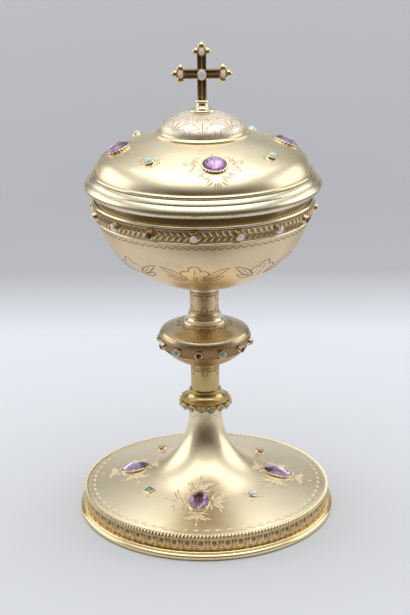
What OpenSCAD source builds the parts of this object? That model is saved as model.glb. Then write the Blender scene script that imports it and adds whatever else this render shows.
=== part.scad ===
// Ciborium: a lidded cup on a tall stem, silver-gilt and set with stones.
// The metalwork is turned about the Z axis. The foot stands on Z = 0 and the front faces -Y.
// Lengths are in millimetres, angles in degrees. A turn is measured from the front towards +X.

/* [Foot] */
// Outer radius of the ring that the foot stands on
foot_r = 70; // [64:0.5:78]
// Radial width of the foot ring
ring_w = 6; // [5.5:0.1:8]
// Height of the foot ring, up to the seat of the gallery
ring_h = 4.7; // [4.2:0.1:6]
// Radius of the roll round the foot ring
ring_roll_r = 1.75; // [1.4:0.05:2]
// Radius of the fine bead above the roll
ring_bead_r = 0.7; // [0.5:0.05:0.8]
// How far the gallery wall stands in from the edge of the ring
gallery_step = 3.6; // [3.2:0.1:4]
// Height of the gallery wall
gallery_h = 6.7; // [5:0.1:9]
// Thickness of the gallery wall and of the seat on top of it
gallery_wall = 0.8; // [0.6:0.1:1.2]
// Width of the seat on top of the gallery
gallery_seat_w = 3; // [2.6:0.1:4]
// Thickness of the stamped leaf strip at its hollows
frieze_base = 0.2; // [0.15:0.05:0.4]
// Height of the leaves of the strip above its hollows
frieze_relief = 0.55; // [0.3:0.05:0.8]
// Number of leaves round the strip
leaf_count = 60; // [40:1:72]
// Radius of the milled wire at the edge of the foot
milled_wire_r = 0.9; // [0.6:0.05:1.2]
// How far the milled wire stands out over the leaves
wire_overhang = 0.25; // [0:0.05:0.5]
// Height of the upright edge of the foot shell
foot_edge_h = 1.6; // [1.3:0.1:2.5]
// Thickness of the foot shell
foot_wall = 1; // [0.7:0.1:1.4]
// Slope of the disc of the foot
foot_slope = 12.3; // [8:0.1:16]
// Radius of the sweep from the disc up to the neck
foot_sweep_r = 37; // [30:0.5:42]
// Radius of the neck
neck_r = 8.9; // [8.2:0.1:11]
// Straight length of the neck above the sweep
neck_straight = 2.8; // [1:0.1:8]
// Thickness of the plate that closes the neck
neck_plate = 2; // [1.2:0.1:3]

/* [Collar and stem] */
// Height of the collar
collar_h = 10.6; // [8:0.1:12]
// Radius of the collar at the middle of its ring of cups
collar_r = 12; // [11:0.1:14]
// Height of the sloping face that carries the cups
collar_face_h = 4; // [3.6:0.1:4.4]
// How far the face looks down
collar_lean = 15; // [5:1:25]
// Height of the hollow under the face
collar_foot_h = 1.3; // [0.8:0.1:2]
// How far the foot of the collar stands out of the neck
collar_foot_step = 0.6; // [0.3:0.1:1.2]
// How far the edge over the cups stands out of the face
collar_edge_w = 0.5; // [0.2:0.1:1]
// Height of the edge over the cups
collar_edge_h = 0.6; // [0.6:0.1:1.4]
// How far the top of the collar stands out of the stem
collar_top_step = 1; // [0.4:0.1:1.6]
// Height of the upright top of the collar
collar_top_h = 0.5; // [0.3:0.1:1]
// Number of cups round the collar
collar_cup_count = 16; // [10:1:16]
// Turn of the ring of cups
collar_turn = -10; // [-45:0.5:45]
// Radius of a collar cup
collar_cup_r = 2.3; // [1.8:0.05:2.3]
// Height of a collar cup
collar_cup_h = 2.2; // [1.6:0.1:3]
// Radius of both stems
stem_r = 7.7; // [6.5:0.1:8]
// Wall of both stems
stem_wall = 1; // [0.8:0.1:1.5]
// Length of the lower stem
lower_stem_h = 14.2; // [12:0.1:30]
// Length of the upper stem, from the knop to the bottom of the bowl
upper_stem_h = 15.5; // [10:0.1:25]
// Radial width of the ring under the bowl
stem_ring_w = 1; // [0.6:0.1:2]
// Height of the ring under the bowl
stem_ring_h = 1.8; // [1:0.1:3]

/* [Knop] */
// Radius of the upper edge of the girdle
knop_r = 24.4; // [21:0.1:28]
// Height of the girdle
girdle_h = 6.6; // [6:0.1:9]
// How far the girdle draws in towards its lower edge
girdle_draw = 1.9; // [0.5:0.1:3]
// Radius of the beads along both edges of the girdle
girdle_bead_r = 0.45; // [0.3:0.05:0.6]
// Depth of the dish under the girdle
knop_dish_h = 10.5; // [3:0.1:12]
// Thickness of the knop's shells and girdle
knop_wall = 1.1; // [0.8:0.1:1.4]
// Radius of the shoulder of the upper shell
knop_side_r = 4.2; // [4:0.1:6]
// Angle at which the shoulder passes into the crown
knop_shoulder = 66; // [60:1:72]
// Radius of the crown of the upper shell
knop_crown_r = 51.5; // [42:0.5:56]
// Number of settings round the girdle
knop_count = 12; // [8:2:16]
// Turn of the settings of the knop
knop_turn = -8; // [-45:0.5:45]
// Radius of the stepped ring on the knop
step_ring_r = 11.4; // [10.2:0.1:13]
// Height of the stepped ring
step_ring_h = 5.2; // [4.6:0.1:7]
// Height of its lower step
step_foot_h = 1.3; // [0.8:0.1:1.8]
// Width of the shelf on its lower step
step_shelf_w = 0.4; // [0.2:0.1:0.8]
// How far its neck stands out of the stem
step_neck_w = 1.2; // [0.8:0.1:1.8]

/* [Cup] */
// Outer radius of the bowl
bowl_r = 56.6; // [52:0.2:60]
// Depth of the bowl below its widest height
bowl_depth = 48; // [46:0.5:52]
// Radius of the side of the bowl
bowl_side_r = 44; // [41:0.5:45]
// Height of the upright lip
lip_h = 4.5; // [3.6:0.1:8]
// Wall of the cup
cup_wall = 1.2; // [0.9:0.1:1.6]
// Height of the engraved band
band_h = 7.1; // [6:0.1:10]
// How far the upper edge of the band lies below the widest height
band_drop = 1.4; // [1:0.1:3]
// How far the upper edge of the band stands out of the bowl
band_stand = 1.8; // [1.2:0.1:2.6]
// How far the lower edge of the band stands out of the bowl
band_foot_stand = 0.75; // [0.4:0.05:1]
// Radius of the wire on the upper edge of the band
band_wire_r = 0.9; // [0.6:0.05:1.2]
// Radius of the wire along the lower edge of the band
under_wire_r = 0.55; // [0.4:0.05:0.8]
// Number of settings round the band
band_count = 16; // [8:4:24]
// Turn of the settings of the band
band_turn = -5; // [-45:0.5:45]

/* [Lid] */
// How far the lid's rim stands out over the cup
rim_overhang = 5.4; // [4.8:0.1:9]
// Height of the rim
lid_rim_h = 9.1; // [8.4:0.1:11]
// Radius of the big roll of the rim
rim_roll_r = 3; // [2.4:0.1:3.4]
// How far the roll lies in from the edge of the rim
rim_roll_step = 0.4; // [0.2:0.1:1]
// Height of the hollow under the rim
rim_hollow_h = 2.5; // [2:0.1:3]
// Height of the flat fillet of the rim
rim_fillet_h = 1.4; // [1:0.1:2]
// How far the hollow draws in under the fillet
rim_hollow_step = 1.2; // [0.8:0.1:2]
// How far the round of the hollow reaches below the rim
rim_hollow_drop = 0.4; // [0.2:0.1:0.8]
// Thickness of the rim's walls
rim_wall = 1.3; // [1:0.1:1.8]
// Depth of the bezel that drops into the cup
bezel_h = 6; // [4:0.1:7]
// Wall of the bezel
bezel_wall = 1; // [0.8:0.1:1.4]
// Clearance between the bezel and the cup
bezel_clear = 0.4; // [0.3:0.05:0.8]
// Width of the rim's seat that stays free inside the dome
dome_seat = 0.9; // [0.2:0.1:1.2]
// Radius of the shoulder of the dome
dome_side_r = 12.3; // [10:0.1:14]
// Angle at which the shoulder passes into the crown
dome_shoulder = 65; // [60:1:68]
// Radius of the crown of the dome
dome_crown_r = 147; // [120:1:180]
// Thickness of the dome and of the cupola
lid_wall = 1.1; // [0.8:0.1:1.5]
// Radius of the wire round the foot of the dome
lid_bead_r = 0.9; // [0.6:0.05:1.2]
// Radius of the cupola
cupola_r = 21.4; // [18:0.2:24]
// Height of the upright wall of the cupola
cupola_wall_h = 1.3; // [0.8:0.1:3]
// Radius of the shoulder of the cupola
cupola_side_r = 6; // [4:0.1:8]
// Angle at which its shoulder passes into its crown
cupola_shoulder = 60; // [55:1:65]
// Radius of the crown of the cupola
cupola_crown_r = 34.3; // [30:0.5:40]
// Radius of the ring round the foot of the cupola
cupola_ring_r = 0.8; // [0.8:0.05:1.8]
// Width of the hollow between the cupola and its ring
cupola_cove_w = 1.5; // [1:0.1:2.5]
// Land at the top of that hollow
cupola_cove_land = 0.3; // [0.2:0.05:0.6]

/* [Cross] */
// Radius of the pedestal under the cross
pedestal_r = 6.7; // [6:0.05:8]
// Height of the pedestal above the cupola
pedestal_h = 6.5; // [5:0.1:8]
// Radius of the roll round the foot of the pedestal
pedestal_roll_r = 0.85; // [0.6:0.05:1.1]
// Radius of the neck of the pedestal
pedestal_neck_r = 2.9; // [2.3:0.1:3.2]
// Height of the small ring on top of the pedestal
pedestal_ring_h = 1.9; // [1:0.1:2.2]
// Radius of the small ring on top of the pedestal
pedestal_top_r = 3.7; // [3.2:0.05:4]
// Height of the middle of the cross above the pedestal
cross_rise = 13.1; // [11:0.1:16]
// Reach of the arms to the middle of their leaf ends
cross_arm = 10.8; // [9:0.1:14]
// Reach of the upper arm to the middle of its leaf end
cross_head = 11.4; // [9:0.1:14]
// Width of the arms
cross_w = 4.7; // [4:0.1:5.5]
// Thickness of the cross
cross_t = 3.2; // [2.6:0.1:4]
// Radius of the round core of a leaf end
trefoil_r = 2.5; // [2.1:0.1:2.9]
// Radius of the buds of a leaf end
bud_r = 1.8; // [1:0.05:1.8]
// Distance of the buds from the middle of their leaf end
bud_reach = 3.1; // [3:0.05:4]
// Width of the grooves along the arms
groove_w = 0.8; // [0.5:0.1:1]
// Depth of the grooves along the arms
groove_d = 0.45; // [0.2:0.05:0.8]

/* [Stones] */
// Length of the oval stones of the foot, along the radius
foot_stone_l = 15.4; // [11:0.1:16]
// Width of the oval stones of the foot
foot_stone_w = 10.6; // [8:0.1:12]
// Distance of the stones of the foot from its edge
foot_stone_inset = 30.5; // [28:0.1:33]
// Turn of the stones of the foot
foot_turn = -6; // [-45:0.5:45]
// Length of the oval stones of the lid, along the radius
lid_stone_l = 12; // [8:0.1:13]
// Width of the oval stones of the lid
lid_stone_w = 12.4; // [8:0.1:13]
// Radius of the ring of stones on the lid
lid_stone_ring = 43.5; // [40:0.1:44]
// Turn of the stones of the lid
lid_turn = 7.3; // [-45:0.1:45]
// Wall of the collets of the oval stones
collet_wall = 0.7; // [0.5:0.05:1]
// Height of the collets of the oval stones
collet_h = 1.4; // [1.3:0.1:3.5]
// Floor of the collets of the oval stones
collet_floor = 0.8; // [0.7:0.05:1]
// Depth of the scallops round an oval collet
scallop_d = 0.35; // [0.1:0.05:0.6]
// Number of scallops round an oval collet
scallop_count = 18; // [12:1:24]
// Height of an oval stone's crown above its collet
crown_h = 1.5; // [1:0.1:2.5]
// Radius of the small stones of the foot and the lid
small_stone_r = 2.2; // [1.6:0.05:2.6]
// Width of the square emerald of the foot
emerald_w = 4; // [3.2:0.1:4.4]
// Radius of the stones of the knop
knop_stone_r = 1.65; // [1.2:0.05:1.9]
// Radius of the stones of the band
band_stone_r = 1.8; // [1.3:0.05:2.1]
// Radius of the turquoises of the collar
collar_stone_r = 1.6; // [1.2:0.05:1.8]
// Radius of the stone in the middle of the cross
cross_stone_r = 2.2; // [1.6:0.05:2.2]
// Radius of the stones in the leaf ends of the cross
cross_small_stone_r = 1.35; // [1:0.05:1.5]
// Wall of the round collets
round_collet_wall = 0.5; // [0.3:0.05:0.6]
// Height of the round collets
round_collet_h = 1.9; // [1.5:0.1:2.5]
// Height of the collets of the small stones on foot and lid
small_collet_h = 1.2; // [1:0.1:2]
// Floor of the round collets and of the collar cups
round_floor = 0.5; // [0.4:0.05:0.7]

/* [Fastenings] */
// Radius of the tie rod in the stem
rod_r = 2.5; // [2:0.1:3.5]
// Radius of the flange that solders the rod to the bowl
rod_flange_r = 5.6; // [4:0.1:6]
// Thickness of that flange
rod_flange_h = 2; // [1.5:0.1:3]
// Length of rod below the nut
rod_tail = 2; // [1:0.1:4]
// Radius of the stud of the cross
stud_r = 1.5; // [1.2:0.05:1.8]
// Length of stud below its nut
stud_tail = 1; // [0.5:0.1:2]
// Clearance round the rod and the stud
bore_clear = 0.3; // [0.2:0.05:0.5]
// Radius of the washer on the rod
tie_washer_r = 6; // [5:0.1:6.5]
// Thickness of the washer on the rod
tie_washer_h = 1.2; // [0.8:0.1:2]
// Radius over the corners of the nut on the rod
tie_nut_r = 4.6; // [4.2:0.1:5.5]
// Height of the nut on the rod
tie_nut_h = 4; // [3:0.1:5]
// Radius of the washer on the stud
cross_washer_r = 3.8; // [3.2:0.1:4.5]
// Thickness of the washer on the stud
cross_washer_h = 0.8; // [0.6:0.1:1.2]
// Radius over the corners of the nut on the stud
cross_nut_r = 3; // [2.7:0.1:3.4]
// Height of the nut on the stud
cross_nut_h = 2.4; // [1.8:0.1:3]
// Thin seam between pieces that are soldered or clamped together
seam = 0.03; // [0.02:0.01:0.06]

/* [Hidden] */
$fn = 144;
gold = [0.85, 0.73, 0.48];
pale_gold = [0.90, 0.82, 0.62];
amethyst = [0.55, 0.40, 0.66];
turquoise = [0.45, 0.70, 0.68];
garnet = [0.40, 0.08, 0.12];
diamond = [0.90, 0.93, 0.94];
steel = [0.62, 0.62, 0.60];

// Longer than the whole piece, for cuts and clips
far = 1000;
// Fineness of the widest arcs
fine = 720;
oval_count = 4;
trefoil_turns = [-90, 0, 90];

// Foot, from the ground up
gallery_r = foot_r - gallery_step;
z_seat = ring_h + gallery_h;
frieze_r = gallery_r + seam;
wire_ring_r = frieze_r + frieze_base + frieze_relief + wire_overhang - milled_wire_r;
foot_rim_r = wire_ring_r - milled_wire_r - seam;
foot_stone_ring = foot_r - foot_stone_inset;
z_rim = z_seat + seam + foot_edge_h;
sweep_start_r = neck_r + foot_sweep_r * (1 - sin(foot_slope));
z_sweep_start = z_rim + (foot_rim_r - sweep_start_r) * tan(foot_slope);
sweep_c = [neck_r + foot_sweep_r, z_sweep_start + foot_sweep_r * cos(foot_slope)];
z_neck = sweep_c.y + neck_straight;
neck_bore = neck_r - foot_wall;

// Collar and stem
z_collar = z_neck + seam;
z_collar_top = z_collar + collar_h;
collar_top_r = stem_r + collar_top_step;
z_cups = z_collar + collar_foot_h + collar_face_h / 2;
collar_face = [collar_face_h / 2 * tan(collar_lean), collar_face_h / 2];
z_knop = z_collar_top + seam + lower_stem_h;

// Knop
z_girdle = z_knop + knop_dish_h;
z_girdle_top = z_girdle + girdle_h;
girdle_low_r = knop_r - girdle_draw;
girdle_lean = atan(girdle_draw / girdle_h);
dish_sphere_r = (girdle_low_r * girdle_low_r + knop_dish_h * knop_dish_h) / (2 * knop_dish_h);
knop_side = [knop_r - knop_side_r, z_girdle_top + seam];
knop_crown = crown_centre(knop_side, knop_side_r, knop_shoulder, knop_crown_r);
z_step = crown_z(step_ring_r, knop_crown, knop_crown_r);
z_step_top = z_step + step_ring_h;

// Cup
z_bowl_bottom = z_step_top + seam + upper_stem_h;
z_bowl = z_bowl_bottom + bowl_depth;
z_lip = z_bowl + lip_h;
bowl_side = [bowl_r - bowl_side_r, z_bowl];
bowl_base_r = (pow(bowl_side.x, 2) + pow(bowl_depth, 2) - pow(bowl_side_r, 2))
            / (2 * (bowl_depth - bowl_side_r));
bowl_base = [0, z_bowl_bottom + bowl_base_r];
z_band_top = z_bowl - band_drop;
z_band = z_band_top - band_h;
band_top_r = bowl_r + band_stand;
band_low_r = bowl_at(z_band) + band_foot_stand;
band_lean = atan((band_top_r - band_low_r) / band_h);
under_wire_z = z_band - under_wire_r - seam;

// Lid
z_lid = z_lip + seam;
bezel_r = bowl_r - cup_wall - bezel_clear;
lid_in_r = bezel_r - bezel_wall;
lid_rim_r = bowl_r + rim_overhang;
dome_r = lid_in_r + dome_seat + lid_wall;
z_rim_top = z_lid + lid_rim_h;
rim_roll = [lid_rim_r - rim_roll_step - rim_roll_r, z_rim_top - rim_roll_r];
z_dome = z_rim_top + seam;
dome_side = [dome_r - dome_side_r, z_dome];
dome_crown = crown_centre(dome_side, dome_side_r, dome_shoulder, dome_crown_r);
dome_hole_r = cupola_r - 2 * lid_wall;
cupola_side = [cupola_r - cupola_side_r, crown_z(cupola_r, dome_crown, dome_crown_r) + cupola_wall_h];
cupola_crown = crown_centre(cupola_side, cupola_side_r, cupola_shoulder, cupola_crown_r);
cupola_ring_at = cupola_r + seam + cupola_cove_w + cupola_ring_r;

// Cross
z_pedestal = crown_z(pedestal_r, cupola_crown, cupola_crown_r);
z_pedestal_top = z_pedestal + pedestal_h;
z_cross = z_pedestal_top + seam;
z_cross_mid = z_cross + cross_rise;
z_cross_washer = crown_z(cross_washer_r, cupola_crown, cupola_crown_r - lid_wall) - seam;
z_cross_nut = z_cross_washer - cross_washer_h - seam;
z_stud = z_cross_nut - cross_nut_h - stud_tail;

// Tie rod
z_tie_washer = z_neck - neck_plate - seam;
z_tie_nut = z_tie_washer - tie_washer_h - seam;
z_rod = z_tie_nut - tie_nut_h - rod_tail;

// Centre of the crown arc that runs on from a shoulder arc at the given angle
function crown_centre(side, side_r, shoulder, crown_r) =
  side - (crown_r - side_r) * [cos(shoulder), sin(shoulder)];

// Height of a crown arc at radius r, and the slope there
function crown_z(r, centre, crown_r) = centre.y + sqrt(pow(crown_r, 2) - pow(r - centre.x, 2));
function crown_tilt(r, centre, crown_r) = asin((r - centre.x) / crown_r);

// Outer radius of the bowl at height z on its side arc
function bowl_at(z, off = 0) = bowl_side.x + sqrt(pow(bowl_side_r + off, 2) - pow(z_bowl - z, 2));

// Height and slope of the foot at radius r, on the disc or on the sweep
function foot_z(r) = r > sweep_start_r
  ? z_rim + (foot_rim_r - r) * tan(foot_slope)
  : sweep_c.y - sqrt(pow(foot_sweep_r, 2) - pow(sweep_c.x - r, 2));
function foot_tilt(r) = r > sweep_start_r ? foot_slope : asin((sweep_c.x - r) / foot_sweep_r);

// Points of an oval, plain or with a scalloped edge
function oval(l, w, count) = [
  for (i = [0:count - 1]) let (a = 360 * i / count) [w / 2 * cos(a), l / 2 * sin(a)]
];
function scalloped_oval(l, w, count, depth) = [
  for (i = [0:4 * count - 1])
    let (a = 90 * i / count, out = depth * abs(sin(45 * i)))
    [(w / 2 + out) * cos(a), (l / 2 + out) * sin(a)]
];

// Half outline of a dome: shoulder arc, crown arc and the upright wall below the shoulder.
// off moves the whole outline outwards, z_low is where it is cut off.
module dome_outline(side, side_r, shoulder, crown_r, z_low, off = 0) {
  centre = crown_centre(side, side_r, shoulder, crown_r);
  left = min(0, centre.x) - 1;
  intersection() {
    union() {
      translate(side)
        circle(side_r + off);
      if (side.y > z_low)
        translate([0, z_low])
          square([side.x + side_r + off, side.y - z_low]);
      intersection() {
        translate(centre)
          circle(crown_r + off, $fn = fine);
        polygon([
          centre,
          centre + far * [cos(shoulder), sin(shoulder)],
          [left, centre.y + far],
          [left, centre.y]
        ]);
      }
    }
    translate([0, z_low])
      square(far);
  }
}

module lid_dome_outline(z_low, off = 0) {
  dome_outline(dome_side, dome_side_r, dome_shoulder, dome_crown_r, z_low, off);
}

module cupola_outline(z_low, off = 0) {
  dome_outline(cupola_side, cupola_side_r, cupola_shoulder, cupola_crown_r, z_low, off);
}

module knop_outline(off = 0) {
  dome_outline(knop_side, knop_side_r, knop_shoulder, knop_crown_r, knop_side.y, off);
}

// Half outline of the bowl and its lip up to z_top, moved outwards by off
module bowl_outline(z_top, off = 0) {
  along = (bowl_side - bowl_base) / norm(bowl_side - bowl_base);
  intersection() {
    union() {
      translate(bowl_side)
        circle(bowl_side_r + off);
      translate([0, z_bowl])
        square([bowl_r + off, z_top - z_bowl]);
      intersection() {
        translate(bowl_base)
          circle(bowl_base_r + off);
        polygon([bowl_base, bowl_base + far * along, [-1, bowl_base.y - far], [-1, bowl_base.y]]);
      }
    }
    translate([0, z_top - far])
      square(far);
  }
}

// Half outline of the foot out to r_out, between z_low and z_top, moved inwards by off
module foot_outline(off, r_out, z_low, z_top) {
  start = sweep_c - (foot_sweep_r + off) * [sin(foot_slope), cos(foot_slope)];
  z_out = start.y - (r_out - start.x) * tan(foot_slope);
  difference() {
    polygon([
      [0, z_low], [r_out, z_low], [r_out, z_out], start,
      sweep_c, [neck_r - off, sweep_c.y], [neck_r - off, z_top], [0, z_top]
    ]);
    translate(sweep_c)
      circle(foot_sweep_r + off);
  }
}

// A round wire bent to a ring
module wire_ring(ring_r, z, wire_r) {
  rotate_extrude()
    translate([ring_r, z])
      circle(wire_r);
}

// Places on the object: on the disc of the foot, on the dome, and on faces that look outwards
module on_foot(turn) {
  rotate(turn)
    translate([0, -foot_stone_ring, foot_z(foot_stone_ring)])
      rotate([foot_tilt(foot_stone_ring), 0, 0])
        children();
}

module on_lid(turn) {
  rotate(turn)
    translate([0, -lid_stone_ring, crown_z(lid_stone_ring, dome_crown, dome_crown_r)])
      rotate([crown_tilt(lid_stone_ring, dome_crown, dome_crown_r), 0, 0])
        children();
}

module on_face(turn, r, z, lean) {
  rotate(turn)
    translate([0, -r, z])
      rotate([90 + lean, 0, 0])
        translate([0, 0, seam])
          children();
}

// Oval collet with a scalloped wall and a closed floor, rooted below the surface that it stands on
module oval_collet(l, w) {
  root = 2 * collet_floor;
  wide = 2 * (seam + collet_wall);
  difference() {
    translate([0, 0, -root])
      linear_extrude(root + collet_h)
        polygon(scalloped_oval(l + wide, w + wide, scallop_count, scallop_d));
    translate([0, 0, collet_floor])
      linear_extrude(collet_h)
        polygon(oval(l + 2 * seam, w + 2 * seam, 32));
  }
}

// Oval stone: table, crown, girdle and a flat base on the floor of its collet
module oval_stone(l, w) {
  girdle_h = 0.3;
  thin = 0.01;
  hull() {
    translate([0, 0, collet_h - girdle_h])
      linear_extrude(girdle_h)
        polygon(oval(l, w, 16));
    translate([0, 0, collet_h + crown_h - thin])
      linear_extrude(thin)
        polygon(oval(0.6 * l, 0.6 * w, 8));
    translate([0, 0, collet_floor + seam])
      linear_extrude(thin)
        polygon(oval(0.5 * l, 0.5 * w, 8));
  }
}

// Round collet with a closed floor for a stone of radius r, rooted below its seat where that is curved
module round_collet(r, height = round_collet_h, root = 0) {
  difference() {
    translate([0, 0, -root])
      cylinder(r = r + seam + round_collet_wall, h = height + root);
    translate([0, 0, round_floor])
      cylinder(r = r + seam, h = height);
  }
}

// Square with its corners cut off
module cut_square(w, corner) {
  h = w / 2;
  polygon([
    [h - corner, -h], [h, corner - h], [h, h - corner], [h - corner, h],
    [corner - h, h], [-h, h - corner], [-h, corner - h], [corner - h, -h]
  ]);
}

// Square collet for a stone of width w
module square_collet(w, height = round_collet_h, root = 0) {
  corner = w / 6;
  difference() {
    translate([0, 0, -root])
      linear_extrude(height + root)
        cut_square(w + 2 * (seam + round_collet_wall), corner);
    translate([0, 0, round_floor])
      linear_extrude(height)
        cut_square(w + 2 * seam, corner);
  }
}

// Step-cut stone in such a collet
module square_stone(w, height = round_collet_h) {
  thin = 0.01;
  corner = w / 6;
  hull() {
    translate([0, 0, round_floor + seam])
      linear_extrude(thin)
        cut_square(0.5 * w, corner / 2);
    translate([0, 0, height - 0.25])
      linear_extrude(0.25)
        cut_square(w, corner);
    translate([0, 0, height + 0.2 * w - thin])
      linear_extrude(thin)
        cut_square(0.6 * w, 0.6 * corner);
  }
}

// Small faceted stone in such a collet
module round_stone(r, height = round_collet_h) {
  low = round_floor + seam;
  rotate_extrude($fn = 8)
    polygon([
      [0, low], [0.5 * r, low], [r, height - 0.25], [r, height],
      [0.58 * r, height + 0.4 * r], [0, height + 0.4 * r]
    ]);
}

// Cabochon in such a collet
module cabochon(r, height = round_collet_h) {
  low = round_floor + seam;
  translate([0, 0, low])
    cylinder(r = r, h = height - 0.3 - low);
  translate([0, 0, height - 0.3])
    intersection() {
      sphere(r);
      cylinder(r = r, h = r);
    }
}

// Foot

module foot_ring() {
  color(gold)
    rotate_extrude()
      intersection() {
        union() {
          translate([foot_r - ring_w, 0])
            square([ring_w - ring_roll_r, ring_h]);
          translate([foot_r - ring_roll_r, ring_roll_r])
            circle(ring_roll_r);
          translate([foot_r - ring_roll_r, 0])
            square([ring_roll_r / 2, ring_roll_r]);
          translate([foot_r - ring_roll_r, ring_h - ring_bead_r])
            circle(ring_bead_r);
        }
        square(far);
      }
}

module foot_gallery() {
  color(gold)
    rotate_extrude() {
      translate([gallery_r - gallery_wall, ring_h + seam])
        square([gallery_wall, gallery_h - seam]);
      translate([gallery_r - gallery_seat_w, z_seat - gallery_wall])
        square([gallery_seat_w, gallery_wall]);
    }
}

// Relief of one leaf that hangs tip down: across runs -0.5 to 0.5, up runs 0 to 1
function leaf_relief(across, up) =
  let (
    half = 0.1 + 0.4 * sin(min(90, 140 * up)),
    notch = up > 0.7 && abs(across) < 0.15 ? 0.45 : 1
  )
  notch * max(0, 1 - pow(across / half, 2));

module foot_leaf_frieze() {
  steps = 4;
  rows = 4;
  columns = steps * leaf_count;
  stride = rows + 3;
  z_low = ring_h + 2 * seam;
  height = z_seat - seam - z_low;
  function at(column, k) = (column % columns) * stride + k;
  points = [
    for (c = [0:columns - 1])
      let (
        turn = 360 * c / columns,
        across = (c % steps) / steps > 0.5 ? (c % steps) / steps - 1 : (c % steps) / steps
      )
      for (k = [0:stride - 1])
        let (
          up = k <= rows ? k / rows : (k == rows + 1 ? 1 : 0),
          out = k <= rows ? frieze_base + frieze_relief * leaf_relief(across, up) : 0,
          r = frieze_r + out
        )
        [r * sin(turn), -r * cos(turn), z_low + height * up]
  ];
  faces = [
    for (c = [0:columns - 1])
      for (k = [0:stride - 1])
        let (next = (k + 1) % stride)
        each [
          [at(c, k), at(c, next), at(c + 1, k)],
          [at(c + 1, k), at(c, next), at(c + 1, next)]
        ]
  ];
  color(gold)
    polyhedron(points, faces);
}

module foot_milled_wire() {
  color(pale_gold)
    wire_ring(wire_ring_r, z_seat + seam + milled_wire_r, milled_wire_r);
}

module foot_shell() {
  rim_land = gallery_seat_w - (gallery_r - foot_rim_r);
  color(pale_gold)
    rotate_extrude()
      difference() {
        foot_outline(0, foot_rim_r, z_seat + seam, z_neck);
        foot_outline(foot_wall, foot_rim_r - rim_land, z_seat - 1, z_neck - neck_plate);
        square([rod_r + bore_clear, far]);
      }
}

module foot_collets() {
  color(gold)
    for (i = [0:oval_count - 1])
      difference() {
        on_foot(foot_turn + 90 * i)
          oval_collet(foot_stone_l, foot_stone_w);
        rotate_extrude($fn = fine)
          foot_outline(-seam, foot_rim_r, z_seat, z_neck);
      }
}

module foot_amethyst(i) {
  color(amethyst)
    on_foot(foot_turn + 90 * (i - 1))
      oval_stone(foot_stone_l, foot_stone_w);
}

// Small stones stand half way between the oval ones. The last one is square, the others are round.
module foot_small_stone(i) {
  on_foot(foot_turn + 45 + 90 * i)
    translate([0, 0, 2 * seam])
      children();
}

module foot_small_collets() {
  color(gold)
    for (i = [0:oval_count - 1])
      difference() {
        foot_small_stone(i)
          if (i == oval_count - 1)
            square_collet(emerald_w, small_collet_h, round_floor);
          else
            round_collet(small_stone_r, small_collet_h, round_floor);
        rotate_extrude($fn = fine)
          foot_outline(-seam, foot_rim_r, z_seat, z_neck);
      }
}

module foot_emerald() {
  color("seagreen")
    foot_small_stone(oval_count - 1)
      square_stone(emerald_w, small_collet_h);
}

module foot_moonstone() {
  color("whitesmoke")
    foot_small_stone(0)
      cabochon(small_stone_r, small_collet_h);
}

module foot_rose_stone() {
  color("palevioletred")
    foot_small_stone(1)
      round_stone(small_stone_r, small_collet_h);
}

module foot_citrine() {
  color("khaki")
    foot_small_stone(2)
      round_stone(small_stone_r, small_collet_h);
}

// Collar and stem

module collar() {
  low_r = collar_r - collar_face.x;
  top_r = collar_r + collar_face.x;
  z_edge = z_cups + collar_face.y;
  z_sweep = z_collar_top - collar_top_h;
  sweep_r = z_sweep - z_edge - collar_edge_h;
  color(gold)
    rotate_extrude()
      difference() {
        polygon([
          [rod_r + bore_clear, z_collar], [neck_r + collar_foot_step, z_collar],
          [low_r, z_cups - collar_face.y], [top_r, z_edge],
          [top_r + collar_edge_w, z_edge + collar_edge_h / 4],
          [top_r + collar_edge_w, z_edge + collar_edge_h],
          [collar_top_r + sweep_r, z_edge + collar_edge_h],
          [collar_top_r + sweep_r, z_sweep],
          [collar_top_r, z_sweep], [collar_top_r, z_collar_top],
          [rod_r + bore_clear, z_collar_top]
        ]);
        translate([collar_top_r + sweep_r, z_sweep])
          circle(sweep_r);
      }
}

module on_collar(i) {
  on_face(collar_turn + 360 * i / collar_cup_count, collar_r, z_cups, collar_lean)
    children();
}

module collar_cups() {
  color(gold)
    for (i = [0:collar_cup_count - 1])
      on_collar(i)
        difference() {
          cylinder(r1 = collar_stone_r, r2 = collar_cup_r, h = collar_cup_h);
          translate([0, 0, round_floor])
            cylinder(r = collar_stone_r + seam - 0.2, h = collar_cup_h);
        }
}

module collar_turquoises() {
  color(turquoise)
    for (i = [0:collar_cup_count - 1])
      on_collar(i)
        cabochon(collar_stone_r - 0.2, collar_cup_h);
}

module lower_stem() {
  color(gold)
    rotate_extrude()
      difference() {
        translate([stem_r - stem_wall, z_collar_top + seam])
          square([stem_wall, lower_stem_h + knop_dish_h]);
        translate([0, z_knop + dish_sphere_r])
          circle(dish_sphere_r + seam);
        translate([0, z_knop + knop_dish_h / 2])
          square(far);
      }
}

// Knop

module knop_lower_shell() {
  color(gold)
    rotate_extrude()
      difference() {
        intersection() {
          translate([0, z_knop + dish_sphere_r])
            circle(dish_sphere_r);
          square([girdle_low_r, z_girdle - seam]);
        }
        translate([0, z_knop + dish_sphere_r])
          circle(dish_sphere_r - knop_wall);
        square([rod_r + bore_clear, far]);
      }
}

module knop_girdle() {
  color(gold)
    rotate_extrude() {
      polygon([
        [girdle_low_r - knop_wall, z_girdle], [girdle_low_r, z_girdle],
        [knop_r, z_girdle_top], [knop_r - knop_wall, z_girdle_top]
      ]);
      translate([girdle_low_r, z_girdle + girdle_bead_r])
        circle(girdle_bead_r);
      translate([knop_r, z_girdle_top - girdle_bead_r])
        circle(girdle_bead_r);
    }
}

module knop_upper_shell() {
  color(gold)
    rotate_extrude()
      difference() {
        knop_outline();
        knop_outline(-knop_wall);
        square([stem_r - stem_wall, far]);
      }
}

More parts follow.
